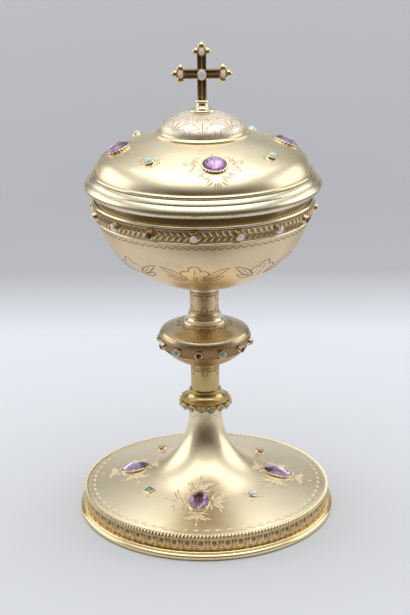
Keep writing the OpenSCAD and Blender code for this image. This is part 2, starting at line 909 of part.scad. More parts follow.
module on_girdle(i) {
  on_face(knop_turn + 360 * i / knop_count, knop_r - girdle_draw / 2, z_girdle + girdle_h / 2, girdle_lean)
    children();
}

module knop_collets() {
  color(gold)
    for (i = [0:knop_count - 1])
      on_girdle(i)
        round_collet(knop_stone_r);
}

module knop_garnets() {
  color(garnet)
    for (i = [0:2:knop_count - 1])
      on_girdle(i)
        round_stone(knop_stone_r);
}

module knop_turquoises() {
  color(turquoise)
    for (i = [1:2:knop_count - 1])
      on_girdle(i)
        cabochon(knop_stone_r);
}

module knop_step_ring() {
  top_r = stem_r + step_neck_w;
  sweep_r = step_ring_r - top_r - step_shelf_w;
  z_foot = z_step + step_foot_h;
  color(gold)
    rotate_extrude()
      difference() {
        union() {
          translate([stem_r - stem_wall, z_step - knop_wall])
            square([step_ring_r - stem_r + stem_wall, step_foot_h + knop_wall]);
          translate([stem_r - stem_wall, z_foot])
            square([top_r + sweep_r - stem_r + stem_wall, sweep_r]);
          translate([stem_r - stem_wall, z_foot])
            square([top_r - stem_r + stem_wall, step_ring_h - step_foot_h]);
        }
        translate([top_r + sweep_r, z_foot + sweep_r])
          circle(sweep_r);
        knop_outline(seam);
      }
}

module upper_stem() {
  color(gold)
    rotate_extrude()
      difference() {
        translate([stem_r - stem_wall, z_step_top + seam])
          square([stem_wall, upper_stem_h + bowl_depth / 4]);
        bowl_outline(z_lip, seam);
      }
}

module stem_top_ring() {
  color(gold)
    rotate_extrude()
      difference() {
        translate([stem_r + seam, z_bowl_bottom - stem_ring_h])
          square([stem_ring_w, stem_ring_h + bowl_depth / 4]);
        bowl_outline(z_lip, seam);
      }
}

// Cup

module cup() {
  color(pale_gold)
    rotate_extrude()
      difference() {
        bowl_outline(z_lip);
        bowl_outline(z_lip + 1, -cup_wall);
      }
}

module cup_band() {
  color(gold)
    rotate_extrude()
      difference() {
        polygon([
          [bowl_r / 2, z_band], [band_low_r, z_band],
          [band_top_r, z_band_top], [bowl_r / 2, z_band_top]
        ]);
        bowl_outline(z_lip, seam);
      }
}

module band_upper_wire() {
  color(pale_gold)
    wire_ring(bowl_r + seam + band_wire_r, z_band_top + seam + band_wire_r, band_wire_r);
}

module band_lower_wire() {
  color(pale_gold)
    wire_ring(bowl_at(under_wire_z, under_wire_r + seam), under_wire_z, under_wire_r);
}

module on_band(i) {
  on_face(band_turn + 360 * i / band_count, (band_low_r + band_top_r) / 2, z_band + band_h / 2, band_lean)
    children();
}

module band_collets() {
  color(gold)
    for (i = [0:band_count - 1])
      on_band(i)
        round_collet(band_stone_r);
}

// Every fourth stone of the band is a garnet
module band_diamonds() {
  color(diamond)
    for (i = [0:band_count - 1])
      if (i % 4 != 3)
        on_band(i)
          round_stone(band_stone_r);
}

module band_garnets() {
  color(garnet)
    for (i = [3:4:band_count - 1])
      on_band(i)
        round_stone(band_stone_r);
}

// Tie rod that pulls the stand together

module tie_rod() {
  color(steel)
    rotate_extrude()
      difference() {
        union() {
          translate([0, z_rod])
            square([rod_r, z_bowl_bottom - z_rod]);
          translate([0, z_bowl_bottom - rod_flange_h])
            square([rod_flange_r, rod_flange_h + bowl_depth / 4]);
        }
        bowl_outline(z_lip, seam);
      }
}

module tie_washer() {
  color(steel)
    translate([0, 0, z_tie_washer - tie_washer_h])
      difference() {
        cylinder(r = tie_washer_r, h = tie_washer_h);
        translate([0, 0, -1])
          cylinder(r = rod_r + bore_clear, h = far);
      }
}

module tie_nut() {
  color(steel)
    translate([0, 0, z_tie_nut - tie_nut_h])
      difference() {
        cylinder(r = tie_nut_r, h = tie_nut_h, $fn = 6);
        translate([0, 0, -1])
          cylinder(r = rod_r + seam, h = far);
      }
}

// Lid

module lid_rim() {
  hollow_r = rim_hollow_h + rim_hollow_drop;
  color(pale_gold)
    rotate_extrude()
      difference() {
        union() {
          translate([lid_in_r, z_lid])
            square([rim_roll.x - lid_in_r, lid_rim_h]);
          translate(rim_roll)
            circle(rim_roll_r);
          translate([rim_roll.x, z_lid])
            square([lid_rim_r - rim_roll.x - rim_hollow_step, rim_hollow_h]);
          translate([rim_roll.x, z_lid + rim_hollow_h])
            square([lid_rim_r - rim_roll.x, rim_fillet_h]);
        }
        translate([lid_rim_r - seam, z_lid - rim_hollow_drop])
          circle(hollow_r);
        translate([0, z_lid + rim_wall])
          square([rim_roll.x - rim_wall, lid_rim_h - 2 * rim_wall]);
      }
}

module lid_bezel() {
  color(gold)
    rotate_extrude()
      translate([lid_in_r, z_lid - seam - bezel_h])
        square([bezel_wall, bezel_h]);
}

module lid_bead() {
  color(pale_gold)
    wire_ring(dome_r + seam + lid_bead_r, z_rim_top + seam + lid_bead_r, lid_bead_r);
}

module lid_dome() {
  color(pale_gold)
    rotate_extrude()
      difference() {
        lid_dome_outline(z_dome);
        lid_dome_outline(z_dome - 1, -lid_wall);
        square([dome_hole_r, far]);
      }
}

module lid_cupola() {
  z_low = z_dome;
  color(pale_gold)
    rotate_extrude()
      difference() {
        cupola_outline(z_low);
        cupola_outline(z_low - 1, -lid_wall);
        lid_dome_outline(z_low - 1, seam);
        translate([0, cupola_side.y])
          square([stud_r + bore_clear, far]);
      }
}

// A bead on the dome and a hollow that leads up from it to the wall of the cupola
module cupola_ring() {
  in_r = cupola_r + seam;
  z_bead = crown_z(cupola_ring_at, dome_crown, dome_crown_r) + cupola_ring_r / 4;
  cove = [cupola_ring_at - 0.7 * cupola_ring_r, z_bead + 0.3 * cupola_ring_r];
  cove_r = cove.x - in_r - cupola_cove_land;
  color(gold)
    rotate_extrude()
      difference() {
        union() {
          translate([cupola_ring_at, z_bead])
            circle(cupola_ring_r);
          difference() {
            translate([in_r, z_bead - 2 * cupola_ring_r])
              square([cove.x - in_r, 2 * cupola_ring_r + cove.y - z_bead + cove_r]);
            translate([cove.x, cove.y + cove_r])
              circle(cove_r);
          }
        }
        lid_dome_outline(z_dome, seam);
      }
}

module lid_collets() {
  color(gold)
    for (i = [0:oval_count - 1])
      difference() {
        on_lid(lid_turn + 90 * i)
          oval_collet(lid_stone_l, lid_stone_w);
        rotate_extrude($fn = fine)
          lid_dome_outline(z_dome, seam);
      }
}

module lid_amethyst(i) {
  color(amethyst)
    on_lid(lid_turn + 90 * (i - 1))
      oval_stone(lid_stone_l, lid_stone_w);
}

module lid_small_collets() {
  color(gold)
    for (i = [0:oval_count - 1])
      on_lid(lid_turn + 45 + 90 * i)
        translate([0, 0, seam])
          round_collet(small_stone_r, small_collet_h);
}

module lid_turquoises() {
  color(turquoise)
    for (i = [0:oval_count - 1])
      on_lid(lid_turn + 45 + 90 * i)
        translate([0, 0, seam])
          cabochon(small_stone_r, small_collet_h);
}

// Cross

module cross_pedestal() {
  neck_sweep = pedestal_h - pedestal_ring_h - 2 * pedestal_roll_r;
  z_shelf = z_pedestal + 2 * pedestal_roll_r;
  color(gold)
    rotate_extrude()
      difference() {
        union() {
          translate([0, z_pedestal - 1])
            square([pedestal_r - pedestal_roll_r, 1 + 2 * pedestal_roll_r]);
          translate([pedestal_r - pedestal_roll_r, z_pedestal + pedestal_roll_r])
            circle(pedestal_roll_r);
          difference() {
            translate([0, z_shelf])
              square([pedestal_neck_r + neck_sweep, neck_sweep]);
            translate([pedestal_neck_r + neck_sweep, z_shelf + neck_sweep])
              circle(neck_sweep);
          }
          translate([0, z_pedestal_top - pedestal_ring_h])
            square([pedestal_top_r - pedestal_ring_h / 2, pedestal_ring_h]);
          translate([pedestal_top_r - pedestal_ring_h / 2, z_pedestal_top - pedestal_ring_h / 2])
            circle(pedestal_ring_h / 2);
        }
        cupola_outline(z_dome, seam);
        square([stud_r + bore_clear, far]);
      }
}

// One arm along +X from the middle of the cross, as long as reach, with two grooves on each face
module cross_arm_bar(reach) {
  groove_at = cross_w / 4;
  difference() {
    translate([0, -cross_t / 2, -cross_w / 2])
      cube([reach, cross_t, cross_w]);
    for (face = [-1, 1])
      for (side = [-1, 1])
        translate([-1, face * cross_t / 2 - groove_d, side * groove_at - groove_w / 2])
          cube([reach + 2, 2 * groove_d, groove_w]);
  }
}

// Leaf end with three buds, opening along +X
module trefoil() {
  rotate([90, 0, 0])
    cylinder(r = trefoil_r, h = cross_t, center = true);
  for (turn = trefoil_turns)
    rotate([0, turn, 0]) {
      rotate([0, 90, 0])
        cylinder(r1 = trefoil_r / 2, r2 = 0.7 * bud_r, h = bud_reach);
      translate([bud_reach, 0, 0])
        sphere(bud_r);
    }
}

module cross() {
  color(gold) {
    translate([0, 0, z_cross_mid]) {
      for (turn = [0, 180])
        rotate([0, turn, 0]) {
          cross_arm_bar(cross_arm);
          translate([cross_arm, 0, 0])
            trefoil();
        }
      rotate([0, -90, 0]) {
        cross_arm_bar(cross_head);
        translate([cross_head, 0, 0])
          trefoil();
      }
      rotate([0, 90, 0])
        cross_arm_bar(cross_rise);
      rotate([90, 0, 0])
        cylinder(r = cross_stone_r + round_collet_wall + 0.2, h = cross_t, center = true);
    }
    translate([0, 0, z_stud])
      cylinder(r = stud_r, h = z_cross + 1 - z_stud);
  }
}

// Places of the stones on the front of the cross
module on_cross(x, z) {
  translate([x, -cross_t / 2 - seam, z_cross_mid + z])
    rotate([90, 0, 0])
      children();
}

module cross_collets() {
  color(gold) {
    on_cross(0, 0)
      round_collet(cross_stone_r);
    for (x = [-cross_arm, cross_arm])
      on_cross(x, 0)
        round_collet(cross_small_stone_r);
    on_cross(0, cross_head)
      round_collet(cross_small_stone_r);
  }
}

module cross_diamonds() {
  color(diamond) {
    on_cross(0, 0)
      round_stone(cross_stone_r);
    for (x = [-cross_arm, cross_arm])
      on_cross(x, 0)
        round_stone(cross_small_stone_r);
    on_cross(0, cross_head)
      round_stone(cross_small_stone_r);
  }
}

module cross_washer() {
  color(steel)
    translate([0, 0, z_cross_washer - cross_washer_h])
      difference() {
        cylinder(r = cross_washer_r, h = cross_washer_h);
        translate([0, 0, -1])
          cylinder(r = stud_r + bore_clear, h = far);
      }
}

module cross_nut() {
  color(steel)
    translate([0, 0, z_cross_nut - cross_nut_h])
      difference() {
        cylinder(r = cross_nut_r, h = cross_nut_h, $fn = 6);
        translate([0, 0, -1])
          cylinder(r = stud_r + seam, h = far);
      }
}

foot_ring();
foot_gallery();
foot_leaf_frieze();
foot_milled_wire();
foot_shell();
foot_collets();
for (i = [1:oval_count])
  foot_amethyst(i);
foot_small_collets();
foot_emerald();
foot_moonstone();
foot_citrine();
foot_rose_stone();
collar();
collar_cups();
collar_turquoises();
lower_stem();
knop_lower_shell();
knop_girdle();
knop_upper_shell();
knop_collets();
knop_garnets();
knop_turquoises();
knop_step_ring();
upper_stem();
stem_top_ring();
cup();
cup_band();
band_upper_wire();
band_lower_wire();
band_collets();
band_diamonds();
band_garnets();
tie_rod();
tie_washer();
tie_nut();
lid_rim();
lid_bezel();
lid_bead();
lid_dome();
lid_cupola();
cupola_ring();
lid_collets();
for (i = [1:oval_count])
  lid_amethyst(i);
lid_small_collets();
lid_turquoises();
cross_pedestal();
cross();
cross_collets();
cross_diamonds();
cross_washer();
cross_nut();
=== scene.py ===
# %% [markdown]
# # A jewelled ciborium
# A ciborium is a covered cup on a tall foot. This one is silver, gilded all over, with engraved leaves and
# coloured stones in small collets. The solids of the part come in first: they fix every size, and each piece
# made below sits exactly where its solid is. Sizes are written in millimetres and shrunk to metres at the end.

# %% Load the solids
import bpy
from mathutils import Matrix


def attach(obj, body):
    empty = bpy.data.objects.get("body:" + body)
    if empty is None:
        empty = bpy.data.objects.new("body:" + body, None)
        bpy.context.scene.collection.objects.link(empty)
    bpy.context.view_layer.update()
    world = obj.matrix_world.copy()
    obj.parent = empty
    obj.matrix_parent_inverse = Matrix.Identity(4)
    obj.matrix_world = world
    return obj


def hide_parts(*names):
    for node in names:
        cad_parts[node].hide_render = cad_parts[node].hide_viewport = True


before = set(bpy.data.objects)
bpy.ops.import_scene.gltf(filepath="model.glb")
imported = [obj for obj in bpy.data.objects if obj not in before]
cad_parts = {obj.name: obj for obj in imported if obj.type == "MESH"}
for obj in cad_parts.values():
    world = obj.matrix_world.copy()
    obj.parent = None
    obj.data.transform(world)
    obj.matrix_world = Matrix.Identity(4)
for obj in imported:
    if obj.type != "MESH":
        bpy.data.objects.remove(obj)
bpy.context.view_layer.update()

import bisect
import math

import bmesh
import bpy
from bmesh.types import BMEdge, BMFace, BMVert
from mathutils import Matrix, Vector

MM = 0.001
STAND, LID = "cup_stand", "lid"

# %% [markdown]
# ## Camera
# The object was photographed from a little above the lid with a long lens, so its ovals are narrow and its
# upright lines hardly lean. The camera's place and tilt were found by fitting the rims of foot, bowl and lid.
# The three axes are built from pitch, roll and yaw, because that keeps the numbers readable.

# %% Set the camera
PITCH, ROLL, YAW = (math.radians(angle) for angle in (19.15, -0.63, 0.31))
EYE, LENS, SENSOR = (-0.0039, -0.784, 0.387), 90.8, 36


def new_object(name, data):
    made = bpy.data.objects.new(name, data)
    bpy.context.scene.collection.objects.link(made)
    return made


ahead = Vector((math.cos(PITCH) * math.sin(YAW), math.cos(PITCH) * math.cos(YAW), -math.sin(PITCH)))
level = Vector((math.cos(YAW), -math.sin(YAW), 0))
upward = level.cross(ahead)
across = math.cos(ROLL) * level + math.sin(ROLL) * upward
upright = math.cos(ROLL) * upward - math.sin(ROLL) * level
camera = new_object("camera", bpy.data.cameras.new("camera"))
camera.data.lens, camera.data.sensor_width, camera.data.clip_start = LENS, SENSOR, 0.01
camera.matrix_world = Matrix.Translation(EYE) @ Matrix((across, upright, -ahead)).transposed().to_4x4()
bpy.context.scene.camera = camera
bpy.context.scene.view_settings.view_transform = "Standard"
print("camera at", EYE, "lens", LENS)

# %% [markdown]
# ## Gilding
# Metal has little colour of its own: what is seen is the room, tinted by the gilding. One flat tint would do from
# afar, but real gilding is cloudy, has a fine bloom and keeps the rings that the lathe left. Every gilded piece
# shares these, so they are built once, as a shader group that puts out a colour, a roughness and a height.

# %% Helpers for nodes
FLOAT, COLOUR = "NodeSocketFloat", "NodeSocketColor"


def start_group(name, inputs, outputs):
    group = bpy.data.node_groups.new(name, "ShaderNodeTree")
    for label, kind, value in inputs:
        group.interface.new_socket(label, in_out="INPUT", socket_type=kind).default_value = value
    for label, kind in outputs:
        group.interface.new_socket(label, in_out="OUTPUT", socket_type=kind)
    return group, group.nodes.new("NodeGroupInput").outputs, group.nodes.new("NodeGroupOutput").inputs


def add_node(tree, kind, links=(), **settings):
    """links pairs a socket with another node's output, or with a plain value"""
    node = tree.nodes.new(kind)
    for key, value in settings.items():
        setattr(node, key, value)
    for socket, source in links:
        if hasattr(source, "is_linked"):
            tree.links.new(source, node.inputs[socket])
        else:
            node.inputs[socket].default_value = source
    return node


print("groups and nodes can be made")

# %% Patterns and sums from nodes
def place_on(tree):
    return add_node(tree, "ShaderNodeTexCoord").outputs["Object"]


def parts_of(tree, vector):
    return add_node(tree, "ShaderNodeSeparateXYZ", [(0, vector)]).outputs


def noise(tree, vector, scale, detail):
    links = [("Vector", vector), ("Scale", scale), ("Detail", detail)]
    return add_node(tree, "ShaderNodeTexNoise", links).outputs[0]


def spread(tree, value, low, high, to_low=0.0, to_high=1.0):
    links = [("Value", value), ("From Min", low), ("From Max", high), ("To Min", to_low), ("To Max", to_high)]
    return add_node(tree, "ShaderNodeMapRange", links).outputs[0]


def maths(tree, operation, first, second=0.0):
    return add_node(tree, "ShaderNodeMath", [(0, first), (1, second)], operation=operation).outputs[0]


def weigh(tree, first, share, second, other):
    """first times share, plus second times other"""
    return maths(tree, "ADD", maths(tree, "MULTIPLY", first, share), maths(tree, "MULTIPLY", second, other))


def blend(tree, factor, first, second):
    return add_node(tree, "ShaderNodeMix", [(0, factor), (6, first), (7, second)], data_type="RGBA").outputs[2]


print("node helpers ready")

# %% The gilding group
CLOUD_SCALE, BLOOM_SCALE, GRAIN_SCALE, RING_SCALE = 38, 520, 1300, 800
gilding, given, result = start_group("gilding", [
    ("Pale", COLOUR, (0.95, 0.81, 0.56, 1)), ("Deep", COLOUR, (0.86, 0.68, 0.41, 1)),
    ("Smooth", FLOAT, 0.25), ("Matt", FLOAT, 0.4), ("Turned", FLOAT, 0.5), ("Grain", FLOAT, 0.5),
], [("Color", COLOUR), ("Roughness", FLOAT), ("Height", FLOAT)])
place = place_on(gilding)
clouds = spread(gilding, noise(gilding, place, CLOUD_SCALE, 3), 0.36, 0.66)
bloom = spread(gilding, noise(gilding, place, BLOOM_SCALE, 2), 0.3, 0.7)
grain = noise(gilding, place, GRAIN_SCALE, 1)
x, y, z = parts_of(gilding, place)
from_axis = maths(gilding, "SQRT", weigh(gilding, x, x, y, y))
round_axis = add_node(gilding, "ShaderNodeCombineXYZ", [(0, from_axis), (2, z)]).outputs[0]
rings = noise(gilding, round_axis, RING_SCALE, 1)
worn = weigh(gilding, clouds, 0.7, bloom, 0.3)
rough = spread(gilding, weigh(gilding, bloom, 0.5, clouds, 0.5), 0.0, 1.0, given["Smooth"], given["Matt"])
gilding.links.new(blend(gilding, worn, given["Deep"], given["Pale"]), result["Color"])
gilding.links.new(rough, result["Roughness"])
gilding.links.new(weigh(gilding, rings, given["Turned"], grain, given["Grain"]), result["Height"])
print("group", gilding.name, "with", len(gilding.nodes), "nodes")

# %% [markdown]
# ## Gilded finishes
# The large shells are satin: they were brushed on the lathe before gilding. Rims and wires are burnished bright,
# and the gilding of stem, collar, knop and lip is painted deeper and browner as painted shade, the lip's as the
# shadow under the lid's rim. Stamped work gets painted shade in its recesses and gaps, from an attribute that the
# stamped strip carries, so the painted darkening follows the relief itself.
# The cupola is matted with traced lines, too fine to model, so its finish draws them along the middle of a noise.

# %% A recipe for gilding
def new_material(name, tint):
    material = bpy.data.materials.new(name)
    material.use_nodes = True
    material.diffuse_color = (*tint, 1)
    return material, material.node_tree, material.node_tree.nodes["Principled BSDF"]


def fill_group(tree, group, values):
    node = add_node(tree, "ShaderNodeGroup", node_tree=group)
    for label, value in values.items():
        node.inputs[label].default_value = (*value, 1) if isinstance(value, tuple) else value
    return node.outputs


def gilded(name, pale, deep, smooth, matt, rings, grain, depth, hollows=None, metal=1.0, traced=None):
    """depth is the height of rings and grain in mm; the recess tone is that of painted shade in recesses, traced that
    of traced lines
    """
    material, tree, shader = new_material(name, pale)
    bath = fill_group(tree, gilding, {"Pale": pale, "Deep": deep, "Smooth": smooth, "Matt": matt,
                                      "Turned": rings, "Grain": grain})
    colour = bath["Color"]
    if hollows:
        # painted shade: darker in the stamped strip's recesses and gaps, read from an attribute of the strip
        hollow = add_node(tree, "ShaderNodeAttribute", attribute_name="hollow").outputs["Fac"]
        colour = blend(tree, spread(tree, hollow, 0.25, 0.95), colour, (*hollows, 1))
    if traced:
        line = maths(tree, "ABSOLUTE", maths(tree, "SUBTRACT", noise(tree, place_on(tree), 400, 2), 0.5))
        colour = blend(tree, spread(tree, line, 0.008, 0.04, 0.7, 0.0), colour, (*traced, 1))
    bump = add_node(tree, "ShaderNodeBump", [("Height", bath["Height"]), ("Distance", depth * MM), ("Strength", 1.0)])
    tree.links.new(colour, shader.inputs["Base Color"])
    tree.links.new(bath["Roughness"], shader.inputs["Roughness"])
    tree.links.new(bump.outputs[0], shader.inputs["Normal"])
    shader.inputs["Metallic"].default_value = metal
    return material


print("recipe for gilding ready")

# %% Shells and rims
SATIN, BURNISHED = (0.6, 0.4, 0.003), (0.5, 0.2, 0.0015)
satin_gilding = gilded("satin_gilding", (0.94, 0.84, 0.60), (0.87, 0.755, 0.50), 0.27, 0.38, *SATIN)
bowl_gilding = gilded("bowl_gilding", (0.90, 0.74, 0.51), (0.76, 0.58, 0.37), 0.28, 0.42, 0.7, 0.9, 0.005)
# painted shade: stem and knop are gilded deeper and browner than the shells, the knop's lower shell deeper still
stem_gilding = gilded("stem_gilding", (0.84, 0.66, 0.40), (0.71, 0.53, 0.29), 0.24, 0.36, *SATIN)
knop_gilding = gilded("knop_gilding", (0.76, 0.63, 0.40), (0.58, 0.45, 0.26), 0.2, 0.34, *SATIN)
knop_shade = gilded("knop_shade", (0.62, 0.45, 0.27), (0.46, 0.32, 0.17), 0.22, 0.36, *SATIN)
girdle_gilding = gilded("girdle_gilding", (0.38, 0.25, 0.13), (0.25, 0.155, 0.075), 0.24, 0.4, 0.4, 0.4, 0.003)
cupola_gilding = gilded("cupola_gilding", (0.99, 0.92, 0.80), (0.95, 0.85, 0.70), 0.42, 0.55, 0.2, 0.8, 0.006,
                        traced=(0.74, 0.60, 0.44))
cup_lining = gilded("cup_lining", (0.95, 0.77, 0.46), (0.88, 0.66, 0.34), 0.12, 0.22, 0.8, 0.2, 0.002)
bright_gilding = gilded("bright_gilding", (0.96, 0.88, 0.66), (0.90, 0.80, 0.56), 0.1, 0.2, *BURNISHED)
ring_gilding = gilded("ring_gilding", (0.98, 0.83, 0.52), (0.92, 0.73, 0.41), 0.1, 0.2, *BURNISHED)
# painted shade: collar and lower stem are gilded deeper and browner
collar_gilding = gilded("collar_gilding", (0.64, 0.49, 0.23), (0.51, 0.37, 0.155), 0.16, 0.28, 0.5, 0.3, 0.002)
rim_gilding = gilded("rim_gilding", (0.89, 0.82, 0.63), (0.81, 0.73, 0.53), 0.22, 0.34, 0.8, 0.3, 0.003)
# painted shadow: the lip under the lid's rim is gilded deeper and browner
lip_gilding = gilded("lip_gilding", (0.56, 0.44, 0.27), (0.44, 0.33, 0.18), 0.14, 0.24, 0.6, 0.3, 0.002)
print("finishes of shells and rims:", len(bpy.data.materials))

# %% Ornament, cuts and fastenings
PUNCHED, FROSTED = (0.0, 1.0, 0.01), (0.0, 0.8, 0.006)
stamped_gilding = gilded("stamped_gilding", (0.80, 0.63, 0.37), (0.62, 0.46, 0.24), 0.24, 0.4, 0.0, 0.8, 0.004,
                         hollows=(0.12, 0.07, 0.03))
setting_gilding = gilded("setting_gilding", (0.93, 0.78, 0.52), (0.78, 0.60, 0.35), 0.16, 0.3, 0.0, 0.8, 0.003)
band_ground = gilded("band_ground", (0.64, 0.48, 0.27), (0.46, 0.33, 0.17), 0.34, 0.5, *PUNCHED)
cross_ground = gilded("cross_ground", (0.34, 0.22, 0.12), (0.20, 0.13, 0.07), 0.3, 0.45, *PUNCHED)
frosted_cut = gilded("frosted_cut", (0.99, 0.87, 0.62), (0.93, 0.76, 0.48), 0.45, 0.6, *FROSTED, metal=0.45)
soft_cut = gilded("soft_cut", (0.66, 0.52, 0.35), (0.52, 0.39, 0.25), 0.45, 0.6, *FROSTED, metal=0.8)
shade_cut = gilded("shade_cut", (0.56, 0.43, 0.27), (0.44, 0.32, 0.18), 0.45, 0.6, *FROSTED, metal=0.8)
dark_cut = gilded("dark_cut", (0.26, 0.16, 0.07), (0.14, 0.085, 0.035), 0.4, 0.6, 0.0, 1.0, 0.006, metal=0.6)
fastener_brass = gilded("fastener_brass", (0.80, 0.62, 0.30), (0.62, 0.45, 0.19), 0.26, 0.42, 0.6, 0.5, 0.01)
print("gilded finishes in all:", len(bpy.data.materials))

# %% [markdown]
# ## Finishes of the stones
# The stones sit in closed collets over thin coloured foil, the old way to make a pale stone glow. So each faceted
# stone has two finishes: clear glass on its crown and foil on the flats below the girdle. Each flat of the foil
# gets a painted tone, painted shade at the upper end of the stone and painted light at the lower end, with a
# painted glint that changes from flat to flat, so the stone sparkles under even light. A crown that is not wholly
# clear gets the same painted tones. Opaque stones are cloudy.

# %% The stone group
stone_clouds, given, result = start_group("stone_clouds", [
    ("Light", COLOUR, (1, 1, 1, 1)), ("Dark", COLOUR, (0, 0, 0, 1)), ("Scale", FLOAT, 400.0),
], [("Color", COLOUR), ("Mask", FLOAT)])
cloud = spread(stone_clouds, noise(stone_clouds, place_on(stone_clouds), given["Scale"], 3), 0.35, 0.65)
stone_clouds.links.new(blend(stone_clouds, cloud, given["Dark"], given["Light"]), result["Color"])
stone_clouds.links.new(cloud, result["Mask"])


def stone(name, light, dark, scale, metal=0.0, clear=0.0, smooth=0.03, index=1.55, coat=0.0, painted_facet_tones=False):
    material, tree, shader = new_material(name, light)
    cloudy = fill_group(tree, stone_clouds, {"Light": light, "Dark": dark, "Scale": scale})
    colour = cloudy["Color"]
    # painted light and shade per flat, from the face attribute that the cut stores
    if painted_facet_tones:
        tone = add_node(tree, "ShaderNodeAttribute", attribute_name="painted_facet_light").outputs["Fac"]
        colour = blend(tree, tone, (*dark, 1), blend(tree, 0.25, (*light, 1), colour))
    tree.links.new(colour, shader.inputs["Base Color"])
    if clear:
        shader.inputs["Roughness"].default_value = smooth
    else:
        tree.links.new(spread(tree, cloudy["Mask"], 0.0, 1.0, smooth, 1.6 * smooth), shader.inputs["Roughness"])
    for label, value in (("Metallic", metal), ("Transmission Weight", clear), ("IOR", index), ("Coat Weight", coat)):
        shader.inputs[label].default_value = value
    return material


def foiled(name, crown, foil_light, foil_dark, index=1.55, metal=1.0, smooth=0.1, clear=1.0, coat=0.0):
    """A pair of finishes: the crown, and the foil below the girdle"""
    shade = 0.9 if clear == 1 else 0.7
    return (stone(name, crown, tuple(shade * c for c in crown), 300, clear=clear, smooth=0.015, index=index,
                  coat=coat, painted_facet_tones=clear < 1),
            stone(name + "_foil", foil_light, foil_dark, 700, metal=metal, smooth=smooth, painted_facet_tones=True))


print("group", stone_clouds.name, "with", len(stone_clouds.nodes), "nodes")

# %% Stone finishes
# each foil's first colour is its painted light, its second its painted shade
amethyst = foiled("amethyst", (0.97, 0.92, 0.98), (1.0, 0.76, 0.97), (0.15, 0.06, 0.18), 1.2, 0.9, coat=1.0)
deep_amethyst = foiled("deep_amethyst", (0.94, 0.87, 0.96), (0.90, 0.66, 0.95), (0.13, 0.05, 0.17), 1.35, 0.95,
                       coat=1.0)
garnet = foiled("garnet", (0.62, 0.11, 0.08), (0.62, 0.09, 0.06), (0.22, 0.03, 0.02), 1.6)
diamond = foiled("diamond", (1.0, 1.0, 0.97), (1.0, 0.99, 0.95), (0.70, 0.70, 0.66), 1.7, 0.0, 0.3, 0.15, coat=1.0)
emerald = foiled("emerald", (0.80, 0.94, 0.86), (0.66, 0.88, 0.75), (0.20, 0.42, 0.33), 1.55, 0.5)
citrine = foiled("citrine", (0.97, 0.92, 0.70), (0.95, 0.87, 0.56), (0.55, 0.42, 0.18))
rose_stone = foiled("rose_stone", (0.95, 0.83, 0.78), (0.92, 0.74, 0.66), (0.50, 0.31, 0.26))
turquoise = stone("turquoise", (0.20, 0.48, 0.47), (0.09, 0.29, 0.31), 900, smooth=0.2, coat=0.5)
pale_turquoise = stone("pale_turquoise", (0.62, 0.84, 0.72), (0.42, 0.70, 0.60), 700, smooth=0.18, coat=0.6)
moonstone = stone("moonstone", (0.86, 0.87, 0.83), (0.70, 0.72, 0.70), 500, smooth=0.1, coat=0.9)
print("foiled stones:", [m.name for m in bpy.data.materials if m.name.endswith("_foil")])

# %% [markdown]
# ## Drawing and turning
# Most of the object was raised and turned, so most pieces here are profiles spun about the axis. A profile is
# drawn as a draughtsman would: go to a point, or swing round a centre. Corners that a polisher would break
# are rounded with a small bevel before the spin, so every edge catches a line of light.

# %% A pen for profiles
ARC_STEP = 4.0


def only(kind, items):
    return [item for item in items if isinstance(item, kind)]


def draw_profile(start, strokes, closed=True):
    """A stroke is ("to", r, z) with the size of a broken corner, or ("arc", r, z of its centre, degrees)"""
    bm = bmesh.new()
    first = last = bm.verts.new((start[0], 0, start[1]))
    corners = []
    for kind, r, z, *more in strokes:
        if kind == "to":
            last = bmesh.ops.extrude_vert_indiv(bm, verts=[last])["verts"][0]
            last.co = (r, 0, z)
            corners += [(last, size) for size in more]
        else:
            swung = bmesh.ops.spin(bm, geom=[last], cent=(r, 0, z), axis=(0, -1, 0), angle=math.radians(more[0]),
                                   steps=max(3, math.ceil(abs(more[0]) / ARC_STEP)))
            last = only(BMVert, swung["geom_last"])[0]
    if closed:
        bm.edges.new((last, first))
    for corner, size in corners:
        bmesh.ops.bevel(bm, geom=[corner], offset=size, offset_type="OFFSET", segments=3, profile=0.5,
                        affect="VERTICES", material=-1)
    return bm


def full_round(r, z):
    """Almost a whole circle: closing the profile adds the last edge"""
    return [("arc", r, z, 180), ("arc", r, z, 176)]


print("pen ready, arcs in steps of", ARC_STEP, "degrees")

# %% The lathe, and the way from the bench to the object
AXIS = (0, 0, 1)
MERGE, SHARP = 0.0008, math.radians(38)
WIDE, BROAD, MIDDLING, SLIM, SMALL = 256, 224, 160, 128, 96  # steps round the axis, by the width of the piece


def turn_on_lathe(bm, steps):
    bmesh.ops.spin(bm, geom=bm.verts[:] + bm.edges[:], cent=(0, 0, 0), axis=AXIS, angle=2 * math.pi, steps=steps,
                   use_merge=True)


def hand_over(bm, name, body, finishes, replaced=(), smooth=True, keep_sides=False):
    bmesh.ops.remove_doubles(bm, verts=bm.verts, dist=MERGE)
    if not keep_sides:
        bmesh.ops.recalc_face_normals(bm, faces=bm.faces)
    bmesh.ops.scale(bm, vec=(MM, MM, MM), verts=bm.verts)
    mesh = bpy.data.meshes.new(name)
    bm.to_mesh(mesh)
    bm.free()
    if smooth:
        mesh.shade_smooth()
        mesh.set_sharp_from_angle(angle=SHARP)
    for finish in finishes if isinstance(finishes, tuple) else (finishes,):
        mesh.materials.append(finish)
    piece = new_object(name, mesh)
    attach(piece, body)
    if replaced:
        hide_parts(*replaced)
    print(f"  {name}: {len(mesh.polygons)} faces")


def turned(node, body, finish, start, strokes, steps):
    bm = draw_profile(start, strokes)
    turn_on_lathe(bm, steps)
    hand_over(bm, "turned_" + node, body, finish, (node,))


def wire(node, body, ring_r, z, wire_r):
    turned(node, body, bright_gilding, (ring_r + wire_r, z), full_round(ring_r, z), BROAD)


print("lathe ready")

